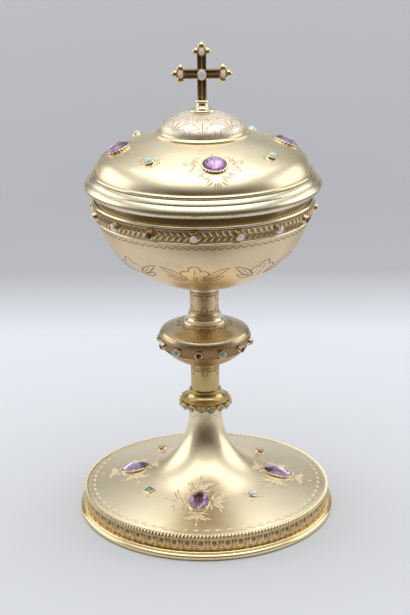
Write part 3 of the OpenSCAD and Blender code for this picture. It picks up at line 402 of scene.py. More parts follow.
# %% [markdown]
# ## Foot
# The foot is a bright base ring, an upright gallery with a stamped leaf frieze, a milled wire and one large shell
# that rises from a flat cone into the stem. All are round, so they are turned. The shell's outside is kept as a
# list of its own, because the engraving that comes later has to lie on it.

# %% Base ring and shell
turned("foot_ring", STAND, ring_gilding, (64, 0.3), [
    ("to", 64.3, 0), ("to", 68.25, 0), ("arc", 68.25, 1.75, 165.8), ("arc", 68.25, 4.0, 142.2),
    ("to", 64, 4.7, 0.3)], WIDE)
SLOPE = 12.3
FOOT_EDGE = (65.6, 13.03)
FOOT_OUTSIDE = [("to", 38.018, 19.04), ("arc", 45.9, 55.195, -(90 - SLOPE)), ("to", 8.9, 57.995)]
turned("foot_shell", STAND, satin_gilding, (63.4, 11.43), [
    ("to", 65.6, 11.43, 0.2), ("to", *FOOT_EDGE, 0.35), *FOOT_OUTSIDE, ("to", 2.8, 57.995),
    ("to", 2.8, 55.995), ("to", 7.9, 55.995), ("to", 7.9, 55.195), ("arc", 45.9, 55.195, 90 - SLOPE),
    ("to", 63.4, 12.486)], WIDE)

# %% [markdown]
# ## Leaf frieze
# The strip round the gallery was rolled in a die: sixty palmettes that hang down, each with veins and four small
# gaps. Modelling each leaf by hand would be slow, and a bump in the finish would leave the strip flat. So one
# palmette is a small grid pushed out by a relief formula, then spun round sixty times. Each point also keeps how
# deep it lies, and the stamped finish reads that to paint shade into the recesses and gaps. The milled wire above
# the strip is one pressed and tilted ball, spun round on a dark core, painted shade in the gaps between the balls.

# %% The relief of one leaf
def bump_at(value, middle, half):
    return max(0.0, 1 - ((value - middle) / half) ** 2)


def gap(side, up, middle, height, wide, tall, lean):
    off = side - middle
    return bump_at(math.hypot(off / wide, (up - height - lean * off) / tall), 0, 1)


def hole(across, up):
    """Two gaps high up beside the pendant, and two lower between the fronds"""
    beside = gap(abs(across), up, middle=0.13, height=0.74, wide=0.05, tall=0.15, lean=-0.5)
    between = gap(abs(across), up, middle=0.43, height=0.64, wide=0.055, tall=0.17, lean=0.8)
    return max(beside, 0.85 * between)


def palmette(across, up):
    side = abs(across)
    lobes = 1 + 0.3 * math.sin(30 * up)
    swell = 0.04 + 0.13 * math.sin(math.pi * min(1.0, 0.1 + 1.3 * up))
    pendant = bump_at(across, 0, lobes * swell) if up < 0.74 else 0.0
    frond = 0.9 * bump_at(side, 0.1 + 0.36 * (1 - up) ** 1.1, 0.12 * lobes) * min(1.0, max(0.0, 4 * (up - 0.14)))
    tip = 0.7 * bump_at(side, 0.5, 0.1) * bump_at(up, 0.28, 0.26)
    crest = 0.6 * bump_at(up, 0.97, 0.12)
    vein = 0.82 + 0.18 * math.cos(2 * math.pi * 9 * (side + 0.18 * up))
    return max(0.0, vein * max(0.2 * up, pendant, frond, tip, crest) - 1.1 * hole(across, up))


print("relief at the middle of a leaf:", round(palmette(0, 0.5), 2))

# %% Stamped palmettes
LEAVES, STRIP_LOW, STRIP_TALL, STRIP_R = 60, 4.76, 6.61, 66.43
STRIP_THICK, RELIEF = 0.15, 0.7


def repeat_round(bm, count):
    bmesh.ops.spin(bm, geom=bm.verts[:] + bm.edges[:] + bm.faces[:], cent=(0, 0, 0), axis=AXIS,
                   angle=2 * math.pi * (count - 1) / count, steps=count - 1, use_duplicate=True)


def on_round(r, turn, z):
    return Vector((r * math.sin(math.radians(turn)), -r * math.cos(math.radians(turn)), z))


bm = bmesh.new()
hollow = bm.verts.layers.float.new("hollow")
for v in bmesh.ops.create_grid(bm, x_segments=36, y_segments=20, size=0.5)["verts"]:
    across_leaf, up_leaf = v.co.x, v.co.y + 0.5
    high = palmette(across_leaf, up_leaf)
    edge = abs(v.co.y) > 0.499
    # painted shade: darker in the gaps and where the relief lies low
    v[hollow] = min(1.0, 1.1 * hole(across_leaf, up_leaf) + 0.95 * max(0.0, 0.62 - high))
    v.co = on_round(STRIP_R + (0 if edge else STRIP_THICK + RELIEF * high), across_leaf * 360 / LEAVES,
                    STRIP_LOW + STRIP_TALL * up_leaf)
repeat_round(bm, LEAVES)
hand_over(bm, "stamped_leaf_frieze", STAND, stamped_gilding, ("foot_leaf_frieze",), keep_sides=True)

# %% Milled wire
BEADS, WIRE_R, WIRE_Z = 222, 66.53, 12.33
bm = draw_profile((WIRE_R + 0.4, WIRE_Z), full_round(WIRE_R, WIRE_Z))
turn_on_lathe(bm, BEADS)
# painted shade: the dark core shows in the gaps between the beads
hand_over(bm, "wire_core", STAND, cross_ground)
bm = bmesh.new()
lean = Matrix.Rotation(math.radians(24), 4, "Y") @ Matrix.Diagonal((0.66, 0.98, 1.18, 1))
bmesh.ops.create_uvsphere(bm, u_segments=8, v_segments=6, radius=1,
                          matrix=Matrix.Translation(on_round(WIRE_R, 0, WIRE_Z)) @ lean)
repeat_round(bm, BEADS)
hand_over(bm, "milled_wire", STAND, bright_gilding, ("foot_milled_wire",))

# %% [markdown]
# ## Collar, stems and knop
# The stem is a stack of turned rings and tubes, threaded on one tie rod: a scalloped collar with turquoises, a
# tube, the knop of two shells with a jewelled girdle between them, a stepped ring and the upper tube. One long
# profile would be quicker, but separate pieces keep the fine dark lines of the joints.

# %% Turned pieces of the stem
TUBE_R = 7.7
turned("collar", STAND, collar_gilding, (2.8, 58.025), [
    ("to", 9.5, 58.025, 0.2), ("to", 11.464, 59.325, 0.15), ("to", 12.536, 63.325), ("to", 13.036, 63.475, 0.1),
    ("to", 13.036, 63.925, 0.15), ("to", 12.9, 63.925), ("arc", 12.9, 68.125, -90), ("to", 8.7, 68.625, 0.15),
    ("to", 2.8, 68.625)], SLIM)
turned("lower_stem", STAND, collar_gilding, (6.7, 68.655), [
    ("to", TUBE_R, 68.655, 0.15), ("to", TUBE_R, 83.85), ("to", 6.7, 83.6)], SLIM)
turned("knop_lower_shell", STAND, knop_shade, (2.8, 82.989), [
    ("arc", 0, 112.212, 44.56), ("to", 21.02, 93.325), ("arc", 0, 112.212, -42.37)], MIDDLING)
turned("knop_girdle", STAND, girdle_gilding, (21.4, 93.355), [
    ("to", 22.5, 93.355), ("arc", 22.5, 93.805, 150), ("to", 22.8, 94.5), ("to", 24.06, 98.8),
    ("to", 24.5, 99.06), ("arc", 24.4, 99.505, 165), ("to", 23.3, 99.955)], MIDDLING)
KNOP_EDGE = (24.4, 99.985)
KNOP_TOP = [("arc", 20.2, 99.985, 66), ("arc", 0.961, 56.774, 16.4)]
turned("knop_upper_shell", STAND, knop_gilding, KNOP_EDGE, [
    *KNOP_TOP, ("to", 6.7, 107.7), ("to", 6.7, 106.8), ("arc", 0.961, 56.774, -17.5), ("to", 23.3, 99.985)], MIDDLING)
turned("knop_step_ring", STAND, bright_gilding, (6.7, 106.5), [
    ("to", 11.4, 106.5), ("to", 11.4, 108.505, 0.6), ("to", 11.0, 108.505), ("arc", 11.0, 110.605, -90),
    ("to", 8.9, 112.405, 0.2), ("to", 6.7, 112.405)], SLIM)
turned("upper_stem", STAND, stem_gilding, (6.7, 112.435), [
    ("to", TUBE_R, 112.435, 0.15), ("to", TUBE_R, 128.35), ("to", 6.7, 128.25)], SLIM)
turned("stem_top_ring", STAND, bright_gilding, (7.73, 126.13), [
    ("to", 8.73, 126.13, 0.3), ("to", 8.73, 128.48), ("to", 7.73, 128.36)], SLIM)

# %% [markdown]
# ## Cup
# The bowl was raised from one sheet. Its outside is satin and engraved; its inside, which shows when the lid is
# lifted off, is burnished to a deeper yellow. One open profile runs up the outside and back down the inside, and
# the direction that a face looks in tells which finish it takes. Two plain wires hold a dark strip, which carries
# the laurel and the stones.

# %% Bowl
BOWL_LOW, LIP_Z, BOTTOM_R = 127.932, 175.94, 20
BOWL_OUTSIDE = [("arc", 0, 193.777, 35.23), ("arc", 12.6, 175.932, 54.77)]
bm = draw_profile((0, BOWL_LOW), [
    *BOWL_OUTSIDE, ("to", 56.6, 180.432, 0.25), ("to", 55.4, 180.432, 0.25), ("to", 55.4, 175.932),
    ("arc", 12.6, 175.932, -54.77), ("arc", 0, 193.777, -35.23)], closed=False)
turn_on_lathe(bm, BROAD)
bmesh.ops.remove_doubles(bm, verts=bm.verts, dist=MERGE)
bmesh.ops.recalc_face_normals(bm, faces=bm.faces)
for face in bm.faces:
    middle = face.calc_center_median()
    to_axis = face.normal.x * middle.x + face.normal.y * middle.y < 0
    on_bottom = math.hypot(middle.x, middle.y) < BOTTOM_R and face.normal.z > 0
    face.material_index = 1 if to_axis or on_bottom else 2 if middle.z > LIP_Z else 0
hand_over(bm, "raised_cup", STAND, (bowl_gilding, cup_lining, lip_gilding), ("cup",))

# %% Band and its wires
BAND_LOW, BAND_HIGH = (56.521, 167.432), (58.4, 174.532)
turned("cup_band", STAND, band_ground, (56.35, 167.432), [
    ("to", *BAND_LOW), ("to", *BAND_HIGH), ("to", 56.6, 174.532)], BROAD)
wire("band_upper_wire", STAND, 57.53, 175.462, 0.9)
wire("band_lower_wire", STAND, 56.245, 166.852, 0.55)

# %% [markdown]
# ## Lid
# The lid lifts straight off: a moulded rim of two sloping bands, a bezel that drops into the cup, a wide satin
# dome, and a small cupola under the cross. It is turned like the stand, but all of it rides on the lid's own
# body, so it moves as one.

# %% Rim, bezel and dome
turned("lid_rim", LID, rim_gilding, (54, 180.462), [
    ("to", 59.098, 180.462, 0.15), ("arc", 61.97, 180.062, -82.07), ("to", 62, 182.962, 0.1),
    ("to", 62, 184.362, 0.25), ("to", 61.35, 185.7, 0.7), ("to", 60.15, 186.95, 0.15), ("to", 59.5, 186.75),
    ("to", 59.45, 187.5, 0.15), ("to", 58.9, 188.45, 0.4), ("to", 57.9, 189.45, 0.15), ("to", 54, 189.562),
    ("to", 54, 188.262), ("to", 57.3, 188.262), ("to", 57.3, 181.762), ("to", 54, 181.762)], WIDE)
turned("lid_bezel", LID, bright_gilding, (54, 174.432), [
    ("to", 55, 174.432, 0.3), ("to", 55, 180.432), ("to", 54, 180.432)], BROAD)
wire("lid_bead", LID, 56.93, 190.492, 0.9)
DOME_EDGE = (56, 189.592)
DOME_OUTSIDE = [("arc", 43.7, 189.592, 65), ("arc", -13.227, 67.512, 12.26)]
turned("lid_dome", LID, satin_gilding, DOME_EDGE, [
    *DOME_OUTSIDE, ("to", 19.2, 209.764), ("arc", -13.227, 67.512, -12.16), ("arc", 43.7, 189.592, -65)], WIDE)

# %% Cupola and pedestal
CUPOLA_EDGE = (21.4, 210.4)
CUPOLA_OUTSIDE = [("to", 21.4, 211.676), ("arc", 15.4, 211.676, 60), ("arc", 1.25, 187.167, 29.08)]
turned("lid_cupola", LID, cupola_gilding, CUPOLA_EDGE, [
    *CUPOLA_OUTSIDE, ("to", 1.8, 220.36), ("arc", 1.25, 187.167, -29.1), ("arc", 15.4, 211.676, -60),
    ("to", 20.3, 210.5)], MIDDLING)
turned("cupola_ring", LID, satin_gilding, (21.43, 209.9), [
    ("to", 24.432, 209.608), ("arc", 23.73, 209.991, 190.1), ("arc", 23.17, 211.671, -82.1),
    ("to", 21.43, 211.671)], MIDDLING)
turned("cross_pedestal", LID, bright_gilding, (1.8, 221.45), [
    ("to", 5.85, 221.031), ("arc", 5.85, 221.881, 180), ("to", 5.8, 222.731), ("arc", 5.8, 225.631, -90),
    ("to", 2.75, 225.631), ("arc", 2.75, 226.581, 180), ("to", 1.8, 227.531)], SMALL)

# %% [markdown]
# ## Seats and settings
# Every stone sits square to the surface that carries it. A seat is a matrix whose z axis leaves the surface,
# whose y axis runs up it and whose x axis runs round it, so one setting drawn flat on the bench can be put
# anywhere. A bezel is a stack of rings bridged one to the next, which gives it a rolled edge and filed notches.

# %% Seats
def seat_at(turn, r, z, rise):
    """rise is the angle of the outward direction above the level, in degrees"""
    angle, up = math.radians(turn), math.radians(rise)
    outward = Vector((math.sin(angle), -math.cos(angle), 0))
    normal = math.cos(up) * outward + math.sin(up) * Vector(AXIS)
    round_it = Vector((math.cos(angle), math.sin(angle), 0))
    axes = Matrix((round_it, normal.cross(round_it), normal)).transposed()
    return Matrix.Translation(on_round(r, turn, z)) @ axes.to_4x4()


def seats_round(count, first, r, z, rise):
    return [seat_at(first + 360 / count * i, r, z, rise) for i in range(count)]


print("seats ready")

# %% Bezels
def setting(bm, seat, wide, tall, rings, segments, flutes=0, flute=0.0):
    """A ring is how far it stands out from the stone, its height and its share of the flutes"""
    loops = []
    for grow, height, fluted in rings:
        circle = bmesh.ops.create_circle(bm, segments=segments, radius=1)["verts"]
        for v in circle:
            angle = math.atan2(v.co.y, v.co.x)
            swell = grow + fluted * flute * math.cos(flutes * angle)
            v.co = seat @ Vector(((wide / 2 + swell) * math.cos(angle), (tall / 2 + swell) * math.sin(angle), height))
        loops.append({edge for v in circle for edge in v.link_edges})
    for low, high in zip(loops, loops[1:]):
        bmesh.ops.bridge_loops(bm, edges=list(low | high))


PLAIN_BEZEL = [(0.82, -1.4, 0), (0.8, 0.05, 0), (0.7, 0.2, 0.3), (0.64, 0.35, 1), (0.62, 0.75, 1), (0.54, 1.0, 0.7),
               (0.36, 1.2, 0.3), (0.05, 1.26, 0), (-0.2, 1.2, 0), (-0.24, 0.8, 0)]
SMALL_BEZEL = [(0.7, -0.7, 0), (0.66, 0.1, 0), (0.5, 0.3, 0), (0.48, 0.85, 0), (0.38, 1.12, 0), (0.1, 1.22, 0),
               (-0.2, 1.12, 0), (-0.22, 0.7, 0)]
ROUND_BEZEL = [(0.66, -0.25, 0), (0.66, 0.15, 0), (0.5, 0.4, 0), (0.5, 1.5, 1), (0.4, 1.85, 1), (0.1, 2.0, 0.6),
               (-0.2, 1.9, 0), (-0.22, 1.4, 0)]
CUP_RINGS = [(-0.1, -0.3, 0), (0.0, 0.2, 0), (0.35, 1.2, 0), (0.66, 2.05, 0), (0.6, 2.25, 0), (0.15, 2.25, 0),
             (-0.12, 2.1, 0), (-0.16, 1.5, 0)]
print("bezels with rings:", [len(rings) for rings in (PLAIN_BEZEL, SMALL_BEZEL, ROUND_BEZEL, CUP_RINGS)])

# %% [markdown]
# ## Cuts
# A faceted stone is ground flat by flat on a wheel. Cutting flats from a block would take many planes, so the
# stone is the hull of a few rings of corners, which gives the same flats. Faces below the girdle take the foil.
# Every face keeps a painted tone as an attribute: painted shade at the upper end of the stone, painted light at
# the lower end and a painted glint of its own. A cabochon is a ball, pressed flatter and cut off level below.

# %% Faceted stones
CULET = -0.6


def cut_stone(bm, seat, wide, tall, rings, girdle):
    """A ring is its corners, its share of the girdle, its height, its turn and how far it is moved up the stone"""
    tone = bm.faces.layers.float.get("painted_facet_light") or bm.faces.layers.float.new("painted_facet_light")
    corners = []
    for count, share, height, phase, *shift in rings:
        middle = Matrix.Translation((0, shift[0] * tall / 2 if shift else 0, height))
        matrix = seat @ middle @ Matrix.Diagonal((share * wide / 2, share * tall / 2, 1, 1))
        matrix = matrix @ Matrix.Rotation(math.radians(phase), 4, "Z")
        corners += bmesh.ops.create_circle(bm, segments=count, radius=1, matrix=matrix)["verts"]
    faces = only(BMFace, bmesh.ops.convex_hull(bm, input=corners)["geom"])
    back = seat.inverted()
    for face in faces:
        face.material_index = int((back @ face.calc_center_median()).z < girdle)
    edges = list({edge for face in faces for edge in face.edges})
    bmesh.ops.dissolve_limit(bm, angle_limit=math.radians(1), verts=corners, edges=edges, delimit={"MATERIAL"})
    # painted light and shade for every face: darker towards the stone's upper end, lighter towards its lower end,
    # with a painted glint per face
    for face in {face for v in corners if v.is_valid for face in v.link_faces}:
        middle = back @ face.calc_center_median()
        painted_glint = math.sin(91.7 * middle.x + 57.3 * middle.y)
        face[tone] = min(1.0, max(0.0, 0.5 - 1.5 * middle.y / tall + 0.25 * painted_glint))


def round_cut(bm, seat, wide, tall, low, girdle, top):
    deep, high = girdle - low, top - girdle
    cut_stone(bm, seat, wide, tall, [
        (8, 0.16, low, 0, CULET), (16, 0.62, low + 0.42 * deep, 11.25, CULET / 3),
        (16, 1.0, girdle - 0.08, 0), (16, 1.0, girdle + 0.08, 0),
        (16, 0.83, girdle + 0.6 * high, 11.25), (8, 0.58, top, 11.25)], girdle)


print("faceted cut ready, culet moved by", CULET)

# %% Cabochons and rows of stones
def cabochon(bm, seat, r, low, middle, high):
    matrix = seat @ Matrix.Translation((0, 0, middle)) @ Matrix.Diagonal((r, r, high - middle, 1))
    ball = bmesh.ops.create_uvsphere(bm, u_segments=28, v_segments=16, radius=1, matrix=matrix)["verts"]
    geom = list({item for v in ball for item in (v, *v.link_edges, *v.link_faces)})
    level_cut = bmesh.ops.bisect_plane(bm, geom=geom, plane_co=seat @ Vector((0, 0, low)),
                                       plane_no=seat.to_3x3() @ Vector(AXIS), clear_inner=True)
    bmesh.ops.holes_fill(bm, edges=only(BMEdge, level_cut["geom_cut"]))


def set_row(make, name, body, slot, finish, node, seats, *sizes, **more):
    """One piece with a bezel, cut stone or cabochon on each seat"""
    bm = bmesh.new()
    for seat in seats:
        make(bm, seat, *sizes, **more)
    hand_over(bm, name, body, finish, (node,), smooth=make is not round_cut)


def bezel_row(name, body, node, seats, *sizes, **more):
    set_row(setting, name, body, "gilt_setting", setting_gilding, node, seats, *sizes, **more)


print("cabochons and rows ready")

# %% [markdown]
# ## Stones of foot and lid
# Four oval amethysts lie on the foot and four on the lid, with a small stone of another kind between each pair.
# The collets on the foot are plain burnished bezels; those on the lid are notched with a file. Both come from
# the same rings, and those of the lid get more and deeper flutes.

# %% Large stones of the foot
FOOT_R, FOOT_Z, FOOT_TURN = 39.5, 18.72, -6
foot_seats = seats_round(4, FOOT_TURN, FOOT_R, FOOT_Z, 90 - SLOPE)
bezel_row("foot_bezels", STAND, "foot_collets", foot_seats, 10.6, 15.4, PLAIN_BEZEL, 108, flutes=18, flute=0.05)
for i, seat in enumerate(foot_seats, 1):
    set_row(round_cut, f"cut_foot_amethyst_{i}", STAND, "amethyst", amethyst, f"foot_amethyst_{i}", [seat],
            10.7, 15.5, low=0.12, girdle=1.15, top=3.1)

# %% Small stones of the foot
SMALL_TURNS = {"moonstone": 39, "rose_stone": 129, "citrine": 219, "emerald": -51}
small_seats = {name: seat_at(turn, FOOT_R, FOOT_Z, 90 - SLOPE) for name, turn in SMALL_TURNS.items()}
small_seats["emerald"] = small_seats["emerald"] @ Matrix.Rotation(math.radians(45), 4, "Z")
bm = bmesh.new()
for name, seat in small_seats.items():
    wide, corners = (5.2, 4) if name == "emerald" else (4.4, 48)
    setting(bm, seat, wide, wide, SMALL_BEZEL, corners)
hand_over(bm, "foot_small_bezels", STAND, setting_gilding, ("foot_small_collets",))
for name, finish in (("rose_stone", rose_stone), ("citrine", citrine)):
    set_row(round_cut, "cut_foot_" + name, STAND, name, finish, "foot_" + name, [small_seats[name]],
            4.4, 4.4, low=0.2, girdle=1.1, top=2.08)
set_row(cabochon, "polished_moonstone", STAND, "moonstone", moonstone, "foot_moonstone", [small_seats["moonstone"]],
        2.2, low=0.4, middle=0.9, high=2.8)
bm = bmesh.new()
cut_stone(bm, small_seats["emerald"], 5.4, 5.4, [
    (4, 0.5, 0.2, 0), (4, 1.0, 0.95, 0), (4, 1.0, 1.2, 0), (4, 0.82, 1.7, 0), (4, 0.6, 2.0, 0)], girdle=1.0)
hand_over(bm, "step_cut_emerald", STAND, emerald, ("foot_emerald",), smooth=False)

# %% Lid stones
LID_R, LID_Z, LID_TILT, LID_TURN = 43.5, 203.125, 22.7, 7.3
lid_seats = seats_round(4, LID_TURN, LID_R, LID_Z, 90 - LID_TILT)
lid_small_seats = seats_round(4, LID_TURN + 45, LID_R, LID_Z, 90 - LID_TILT)
bezel_row("lid_bezels", LID, "lid_collets", lid_seats, 12.4, 12.0, PLAIN_BEZEL, 144, flutes=24, flute=0.16)
for i, seat in enumerate(lid_seats, 1):
    set_row(round_cut, f"cut_lid_amethyst_{i}", LID, "amethyst", deep_amethyst, f"lid_amethyst_{i}", [seat],
            12.5, 12.1, low=0.12, girdle=1.1, top=2.9)
bezel_row("lid_small_bezels", LID, "lid_small_collets", lid_small_seats, 4.4, 4.4, SMALL_BEZEL, 48)
set_row(cabochon, "polished_lid_turquoises", LID, "turquoise", pale_turquoise, "lid_turquoises", lid_small_seats,
        2.2, low=0.4, middle=0.9, high=2.6)

# %% [markdown]
# ## Stones of collar, knop and band
# Sixteen little cups with turquoises stand out from the collar like a scalloped frill, twelve stones ring the
# knop, garnet and turquoise in turn, and sixteen ring the bowl. The same two kinds of stone do for all: a
# faceted cut and a rounded cabochon.

# %% Small stones in rows
collar_seats = seats_round(16, -10, 12.0, 61.325, -15)
bezel_row("collar_cups_turned", STAND, "collar_cups", collar_seats, 3.2, 3.2, CUP_RINGS, 32)
set_row(cabochon, "collar_cabochons", STAND, "turquoise", turquoise, "collar_turquoises", collar_seats,
        1.4, low=0.6, middle=1.75, high=2.7)

knop_seats = seats_round(12, -8, 23.45, 96.655, -16.06)
bezel_row("knop_bezels", STAND, "knop_collets", knop_seats, 3.3, 3.3, ROUND_BEZEL, 36)
set_row(round_cut, "cut_knop_garnets", STAND, "garnet", garnet, "knop_garnets", knop_seats[::2],
        3.3, 3.3, low=0.56, girdle=1.85, top=2.6)
set_row(cabochon, "knop_cabochons", STAND, "turquoise", turquoise, "knop_turquoises", knop_seats[1::2],
        1.65, low=0.56, middle=1.6, high=2.9)

BAND_R = 57.46
band_seats = seats_round(16, -5, BAND_R, 170.982, -14.82)
bezel_row("band_bezels", STAND, "band_collets", band_seats, 3.6, 3.6, ROUND_BEZEL, 64, flutes=8, flute=0.12)
for name, finish, chosen in (("diamond", diamond, (0, 1, 2)), ("garnet", garnet, (3,))):
    seats = [seat for i, seat in enumerate(band_seats) if i % 4 in chosen]
    set_row(round_cut, f"cut_band_{name}s", STAND, name, finish, f"band_{name}s", seats,
            3.6, 3.6, low=0.56, girdle=1.85, top=2.65)

# %% [markdown]
# ## Cross
# The cross has flat arms with raised edges and a rib along the middle, and ends in three buds. Sinking the ground
# between the rails would need cuts, so each arm is laid up instead: a thin dark bar with three bright rails on
# both faces, all with broken edges. The buds are drawn out to soft points.

# %% Bars and buds
MIDDLE = 240.661


def turned_by(angle, axis):
    return Matrix.Rotation(math.radians(angle), 4, axis)


def break_edges(bm, verts, size):
    edges = list({edge for v in verts for edge in v.link_edges})
    bmesh.ops.bevel(bm, geom=edges, offset=size, offset_type="OFFSET", segments=2, profile=0.5, affect="EDGES",
                    material=-1)


def bar(bm, seat, low, high, size):
    middle = Matrix.Translation([(a + b) / 2 for a, b in zip(low, high)])
    matrix = seat @ middle @ Matrix.Diagonal([b - a for a, b in zip(low, high)] + [1])
    break_edges(bm, bmesh.ops.create_cube(bm, size=1, matrix=matrix)["verts"], size)


def arm_seat(turn):
    return Matrix.Translation((0, 0, MIDDLE)) @ turned_by(turn, "Y")


def bud_end(bm, end):
    core = bmesh.ops.create_cone(bm, cap_ends=True, segments=32, radius1=2.5, radius2=2.5, depth=3.2,
                                 matrix=end @ turned_by(90, "X"))["verts"]
    break_edges(bm, core, 0.25)
    for turn in (-90, 0, 90):
        lobe = end @ turned_by(turn, "Y")
        swell = lobe @ Matrix.Translation((2.85, 0, 0)) @ Matrix.Diagonal((1.85, 1.5, 1.85, 1))
        bmesh.ops.create_uvsphere(bm, u_segments=20, v_segments=12, radius=1, matrix=swell)
        bmesh.ops.create_cone(bm, cap_ends=True, segments=16, radius1=0.9, radius2=0.2, depth=0.7,
                              matrix=lobe @ Matrix.Translation((4.55, 0, 0)) @ turned_by(90, "Y"))


print("bars and buds ready, cross centred at", MIDDLE, "mm")

# %% Lay up the cross
ARM, HEAD, RISE = 10.8, 11.4, 13.1
bm, ground_bm = bmesh.new(), bmesh.new()
for turn, reach in ((0, ARM), (180, ARM), (-90, HEAD), (90, RISE)):
    for rail, half in ((-2.0, 0.36), (0, 0.5), (2.0, 0.36)):
        bar(bm, arm_seat(turn), (0.5, -1.6, rail - half), (reach, 1.6, rail + half), 0.2)
    if reach != RISE:
        bud_end(bm, arm_seat(turn) @ Matrix.Translation((reach, 0, 0)))
    bar(ground_bm, arm_seat(turn), (0, -0.9, -2.2), (reach, 0.9, 2.2), 0.1)
hand_over(bm, "chased_cross", LID, setting_gilding, ("cross",))
hand_over(ground_bm, "cross_sunk_ground", LID, cross_ground)

# %% Stones of the cross
CROSS_STONES = [(0, 0, 4.4, 5.2), (-ARM, 0, 2.7, 2.7), (ARM, 0, 2.7, 2.7), (0, HEAD, 2.7, 2.7)]
bezels, stones = bmesh.new(), bmesh.new()
for x, z, wide, tall in CROSS_STONES:
    seat = Matrix.Translation((x, -1.63, MIDDLE + z)) @ turned_by(90, "X")
    setting(bezels, seat, wide, tall, ROUND_BEZEL, 64, flutes=8, flute=0.12)
    round_cut(stones, seat, wide, tall, low=0.56, girdle=1.85, top=1.9 + 0.2 * wide)
hand_over(bezels, "cross_bezels", LID, setting_gilding, ("cross_collets",))
hand_over(stones, "cut_cross_diamonds", LID, diamond, ("cross_diamonds",), smooth=False)

# %% [markdown]
# ## Engraving
# The leaves were cut with a graver: a stroke that starts fine, swells and runs out to a point, and throws a
# bright edge. A drawing in the finish would be flat, and real cuts would need a very fine mesh. So a stroke is a
# narrow grid laid along a curve on the turned surface, with its middle a hair proud, which catches light as the
# cut does. Dark thin strokes stand for deep lines that hold old polish.

# %% A turned surface as a drawing board
class Surface:
    """A turned surface: millimetres along its profile, degrees round it, and a lift off it"""

    def __init__(self, start, strokes):
        bm = draw_profile(start, strokes, closed=False)
        self.path = [(v.co.x, v.co.z) for v in bm.verts]
        bm.free()
        self.marks = [0.0]
        for here, there in zip(self.path, self.path[1:]):
            self.marks.append(self.marks[-1] + math.dist(here, there))

    def step(self, along):
        along = min(max(along, 0.0), self.marks[-1] - 1e-6)
        i = bisect.bisect_right(self.marks, along) - 1
        share = (along - self.marks[i]) / (self.marks[i + 1] - self.marks[i])
        (r, z), (r2, z2) = self.path[i], self.path[i + 1]
        size = math.dist((r, z), (r2, z2))
        return r + share * (r2 - r), z + share * (z2 - z), (r2 - r) / size, (z2 - z) / size

    def at(self, turn, along, lift):
        r, z, run, climb = self.step(along)
        return on_round(r + lift * climb, turn, z - lift * run)

    def along_at(self, r):
        for mark, (low, z), (high, z2) in zip(self.marks, self.path, self.path[1:]):
            if min(low, high) <= r <= max(low, high) and low != high:
                return mark + math.dist((low, z), (high, z2)) * (r - low) / (high - low)

    def bench(self, turn, along):
        """A flat drawing, x round the object and y up it, laid on the surface at this place"""
        return lambda x, y, lift: self.at(turn + math.degrees(x / self.step(along + y)[0]), along + y, lift)


print("drawing board ready")

# %% Surfaces to engrave
foot = Surface(FOOT_EDGE, FOOT_OUTSIDE)
dome = Surface(DOME_EDGE, DOME_OUTSIDE)
cupola = Surface(CUPOLA_EDGE, CUPOLA_OUTSIDE)
bowl = Surface((0.01, BOWL_LOW), BOWL_OUTSIDE)
knop = Surface(KNOP_EDGE, KNOP_TOP)
band = Surface(BAND_LOW, [("to", *BAND_HIGH)])
low_tube = Surface((TUBE_R, 68.655), [("to", TUBE_R, 83.8)])
high_tube = Surface((TUBE_R, 112.435), [("to", TUBE_R, 126.1)])
print("surfaces to engrave, mm long:", [round(s.marks[-1], 1) for s in (foot, dome, cupola, bowl, knop)])

# %% Curves on the bench
SIDES = (1, -1)


def heading_of(angle):
    return math.cos(math.radians(angle)), math.sin(math.radians(angle))


def curl(x, y, heading, length, bend=0.0, tighten=0.0, steps=8):
    line = [(x, y)]
    for k in range(steps):
        heading += bend / steps * (1 + tighten * ((2 * k + 1) / steps - 1))
        c, s = heading_of(heading)
        x, y = x + length / steps * c, y + length / steps * s
        line.append((x, y))
    return line


def beside(line, i, out):
    """The point that lies out to the left of the line at its point i"""
    (x0, y0), (x1, y1) = line[max(0, i - 1)], line[min(len(line) - 1, i + 1)]
    size = math.dist((x0, y0), (x1, y1)) or 1.0
    return line[i][0] - (y1 - y0) / size * out, line[i][1] + (x1 - x0) / size * out


print("a curl of 10 mm ends at", [round(c, 1) for c in curl(0, 0, 0, 10, 90)[-1]])

# %% The engraver's strokes
def cut(bm, ground, line, width, lift=0.02, ridge=0.06):
    """width is a function of the share of the way along the line"""
    last = len(line) - 1
    for v in bmesh.ops.create_grid(bm, x_segments=last, y_segments=2, size=0.5)["verts"]:
        i, side = round((v.co.x + 0.5) * last), round(v.co.y * 2)
        v.co = ground(*beside(line, i, side * width(i / last) / 2), lift + (0 if side else ridge))


def leaf(bm, ground, x, y, heading, length, wide, bend=0.0):
    cut(bm, ground, curl(x, y, heading, length, bend), lambda t: wide * math.sin(math.pi * t ** 0.7) ** 0.8 + 0.02)


def stroke(bm, ground, line, wide, lift=0.02, ridge=0.03):
    cut(bm, ground, line, lambda t: wide * min(1.0, 0.25 + 5 * t, 0.25 + 5 * (1 - t)), lift, ridge)


def dark_line(bm, ground, line, wide):
    stroke(bm, ground, line, wide, lift=0.01, ridge=0.02)


def engraved(bm, name, body, finish, repeats=1):
    if repeats > 1:
        repeat_round(bm, repeats)
    hand_over(bm, name, body, finish, keep_sides=True)


print("graver ready")

# %% [markdown]
# ## Sprays on the foot
# Round each amethyst of the foot grow four sprays, each of a long middle leaf with narrow curved leaves on both
# sides. A bright leaf with a soft dark stroke beside it, a painted shade of the cut, reads as one slanting cut.
# Small stones get pairs of tiny leaves, and near the rim runs a wavy border with a leaf in each wave.

# %% A spray of leaves
# place along and beside the spray, heading, length, width and bend of each side leaf
BLADES = [(0.0, 0.3, 66, 7.6, 1.35, -50), (1.4, 0.4, 30, 5.2, 1.2, 34), (-0.5, 1.3, 108, 4.6, 1.1, -44),
          (3.0, 4.6, 48, 3.0, 1.0, 40)]
light, dark = bmesh.new(), bmesh.new()


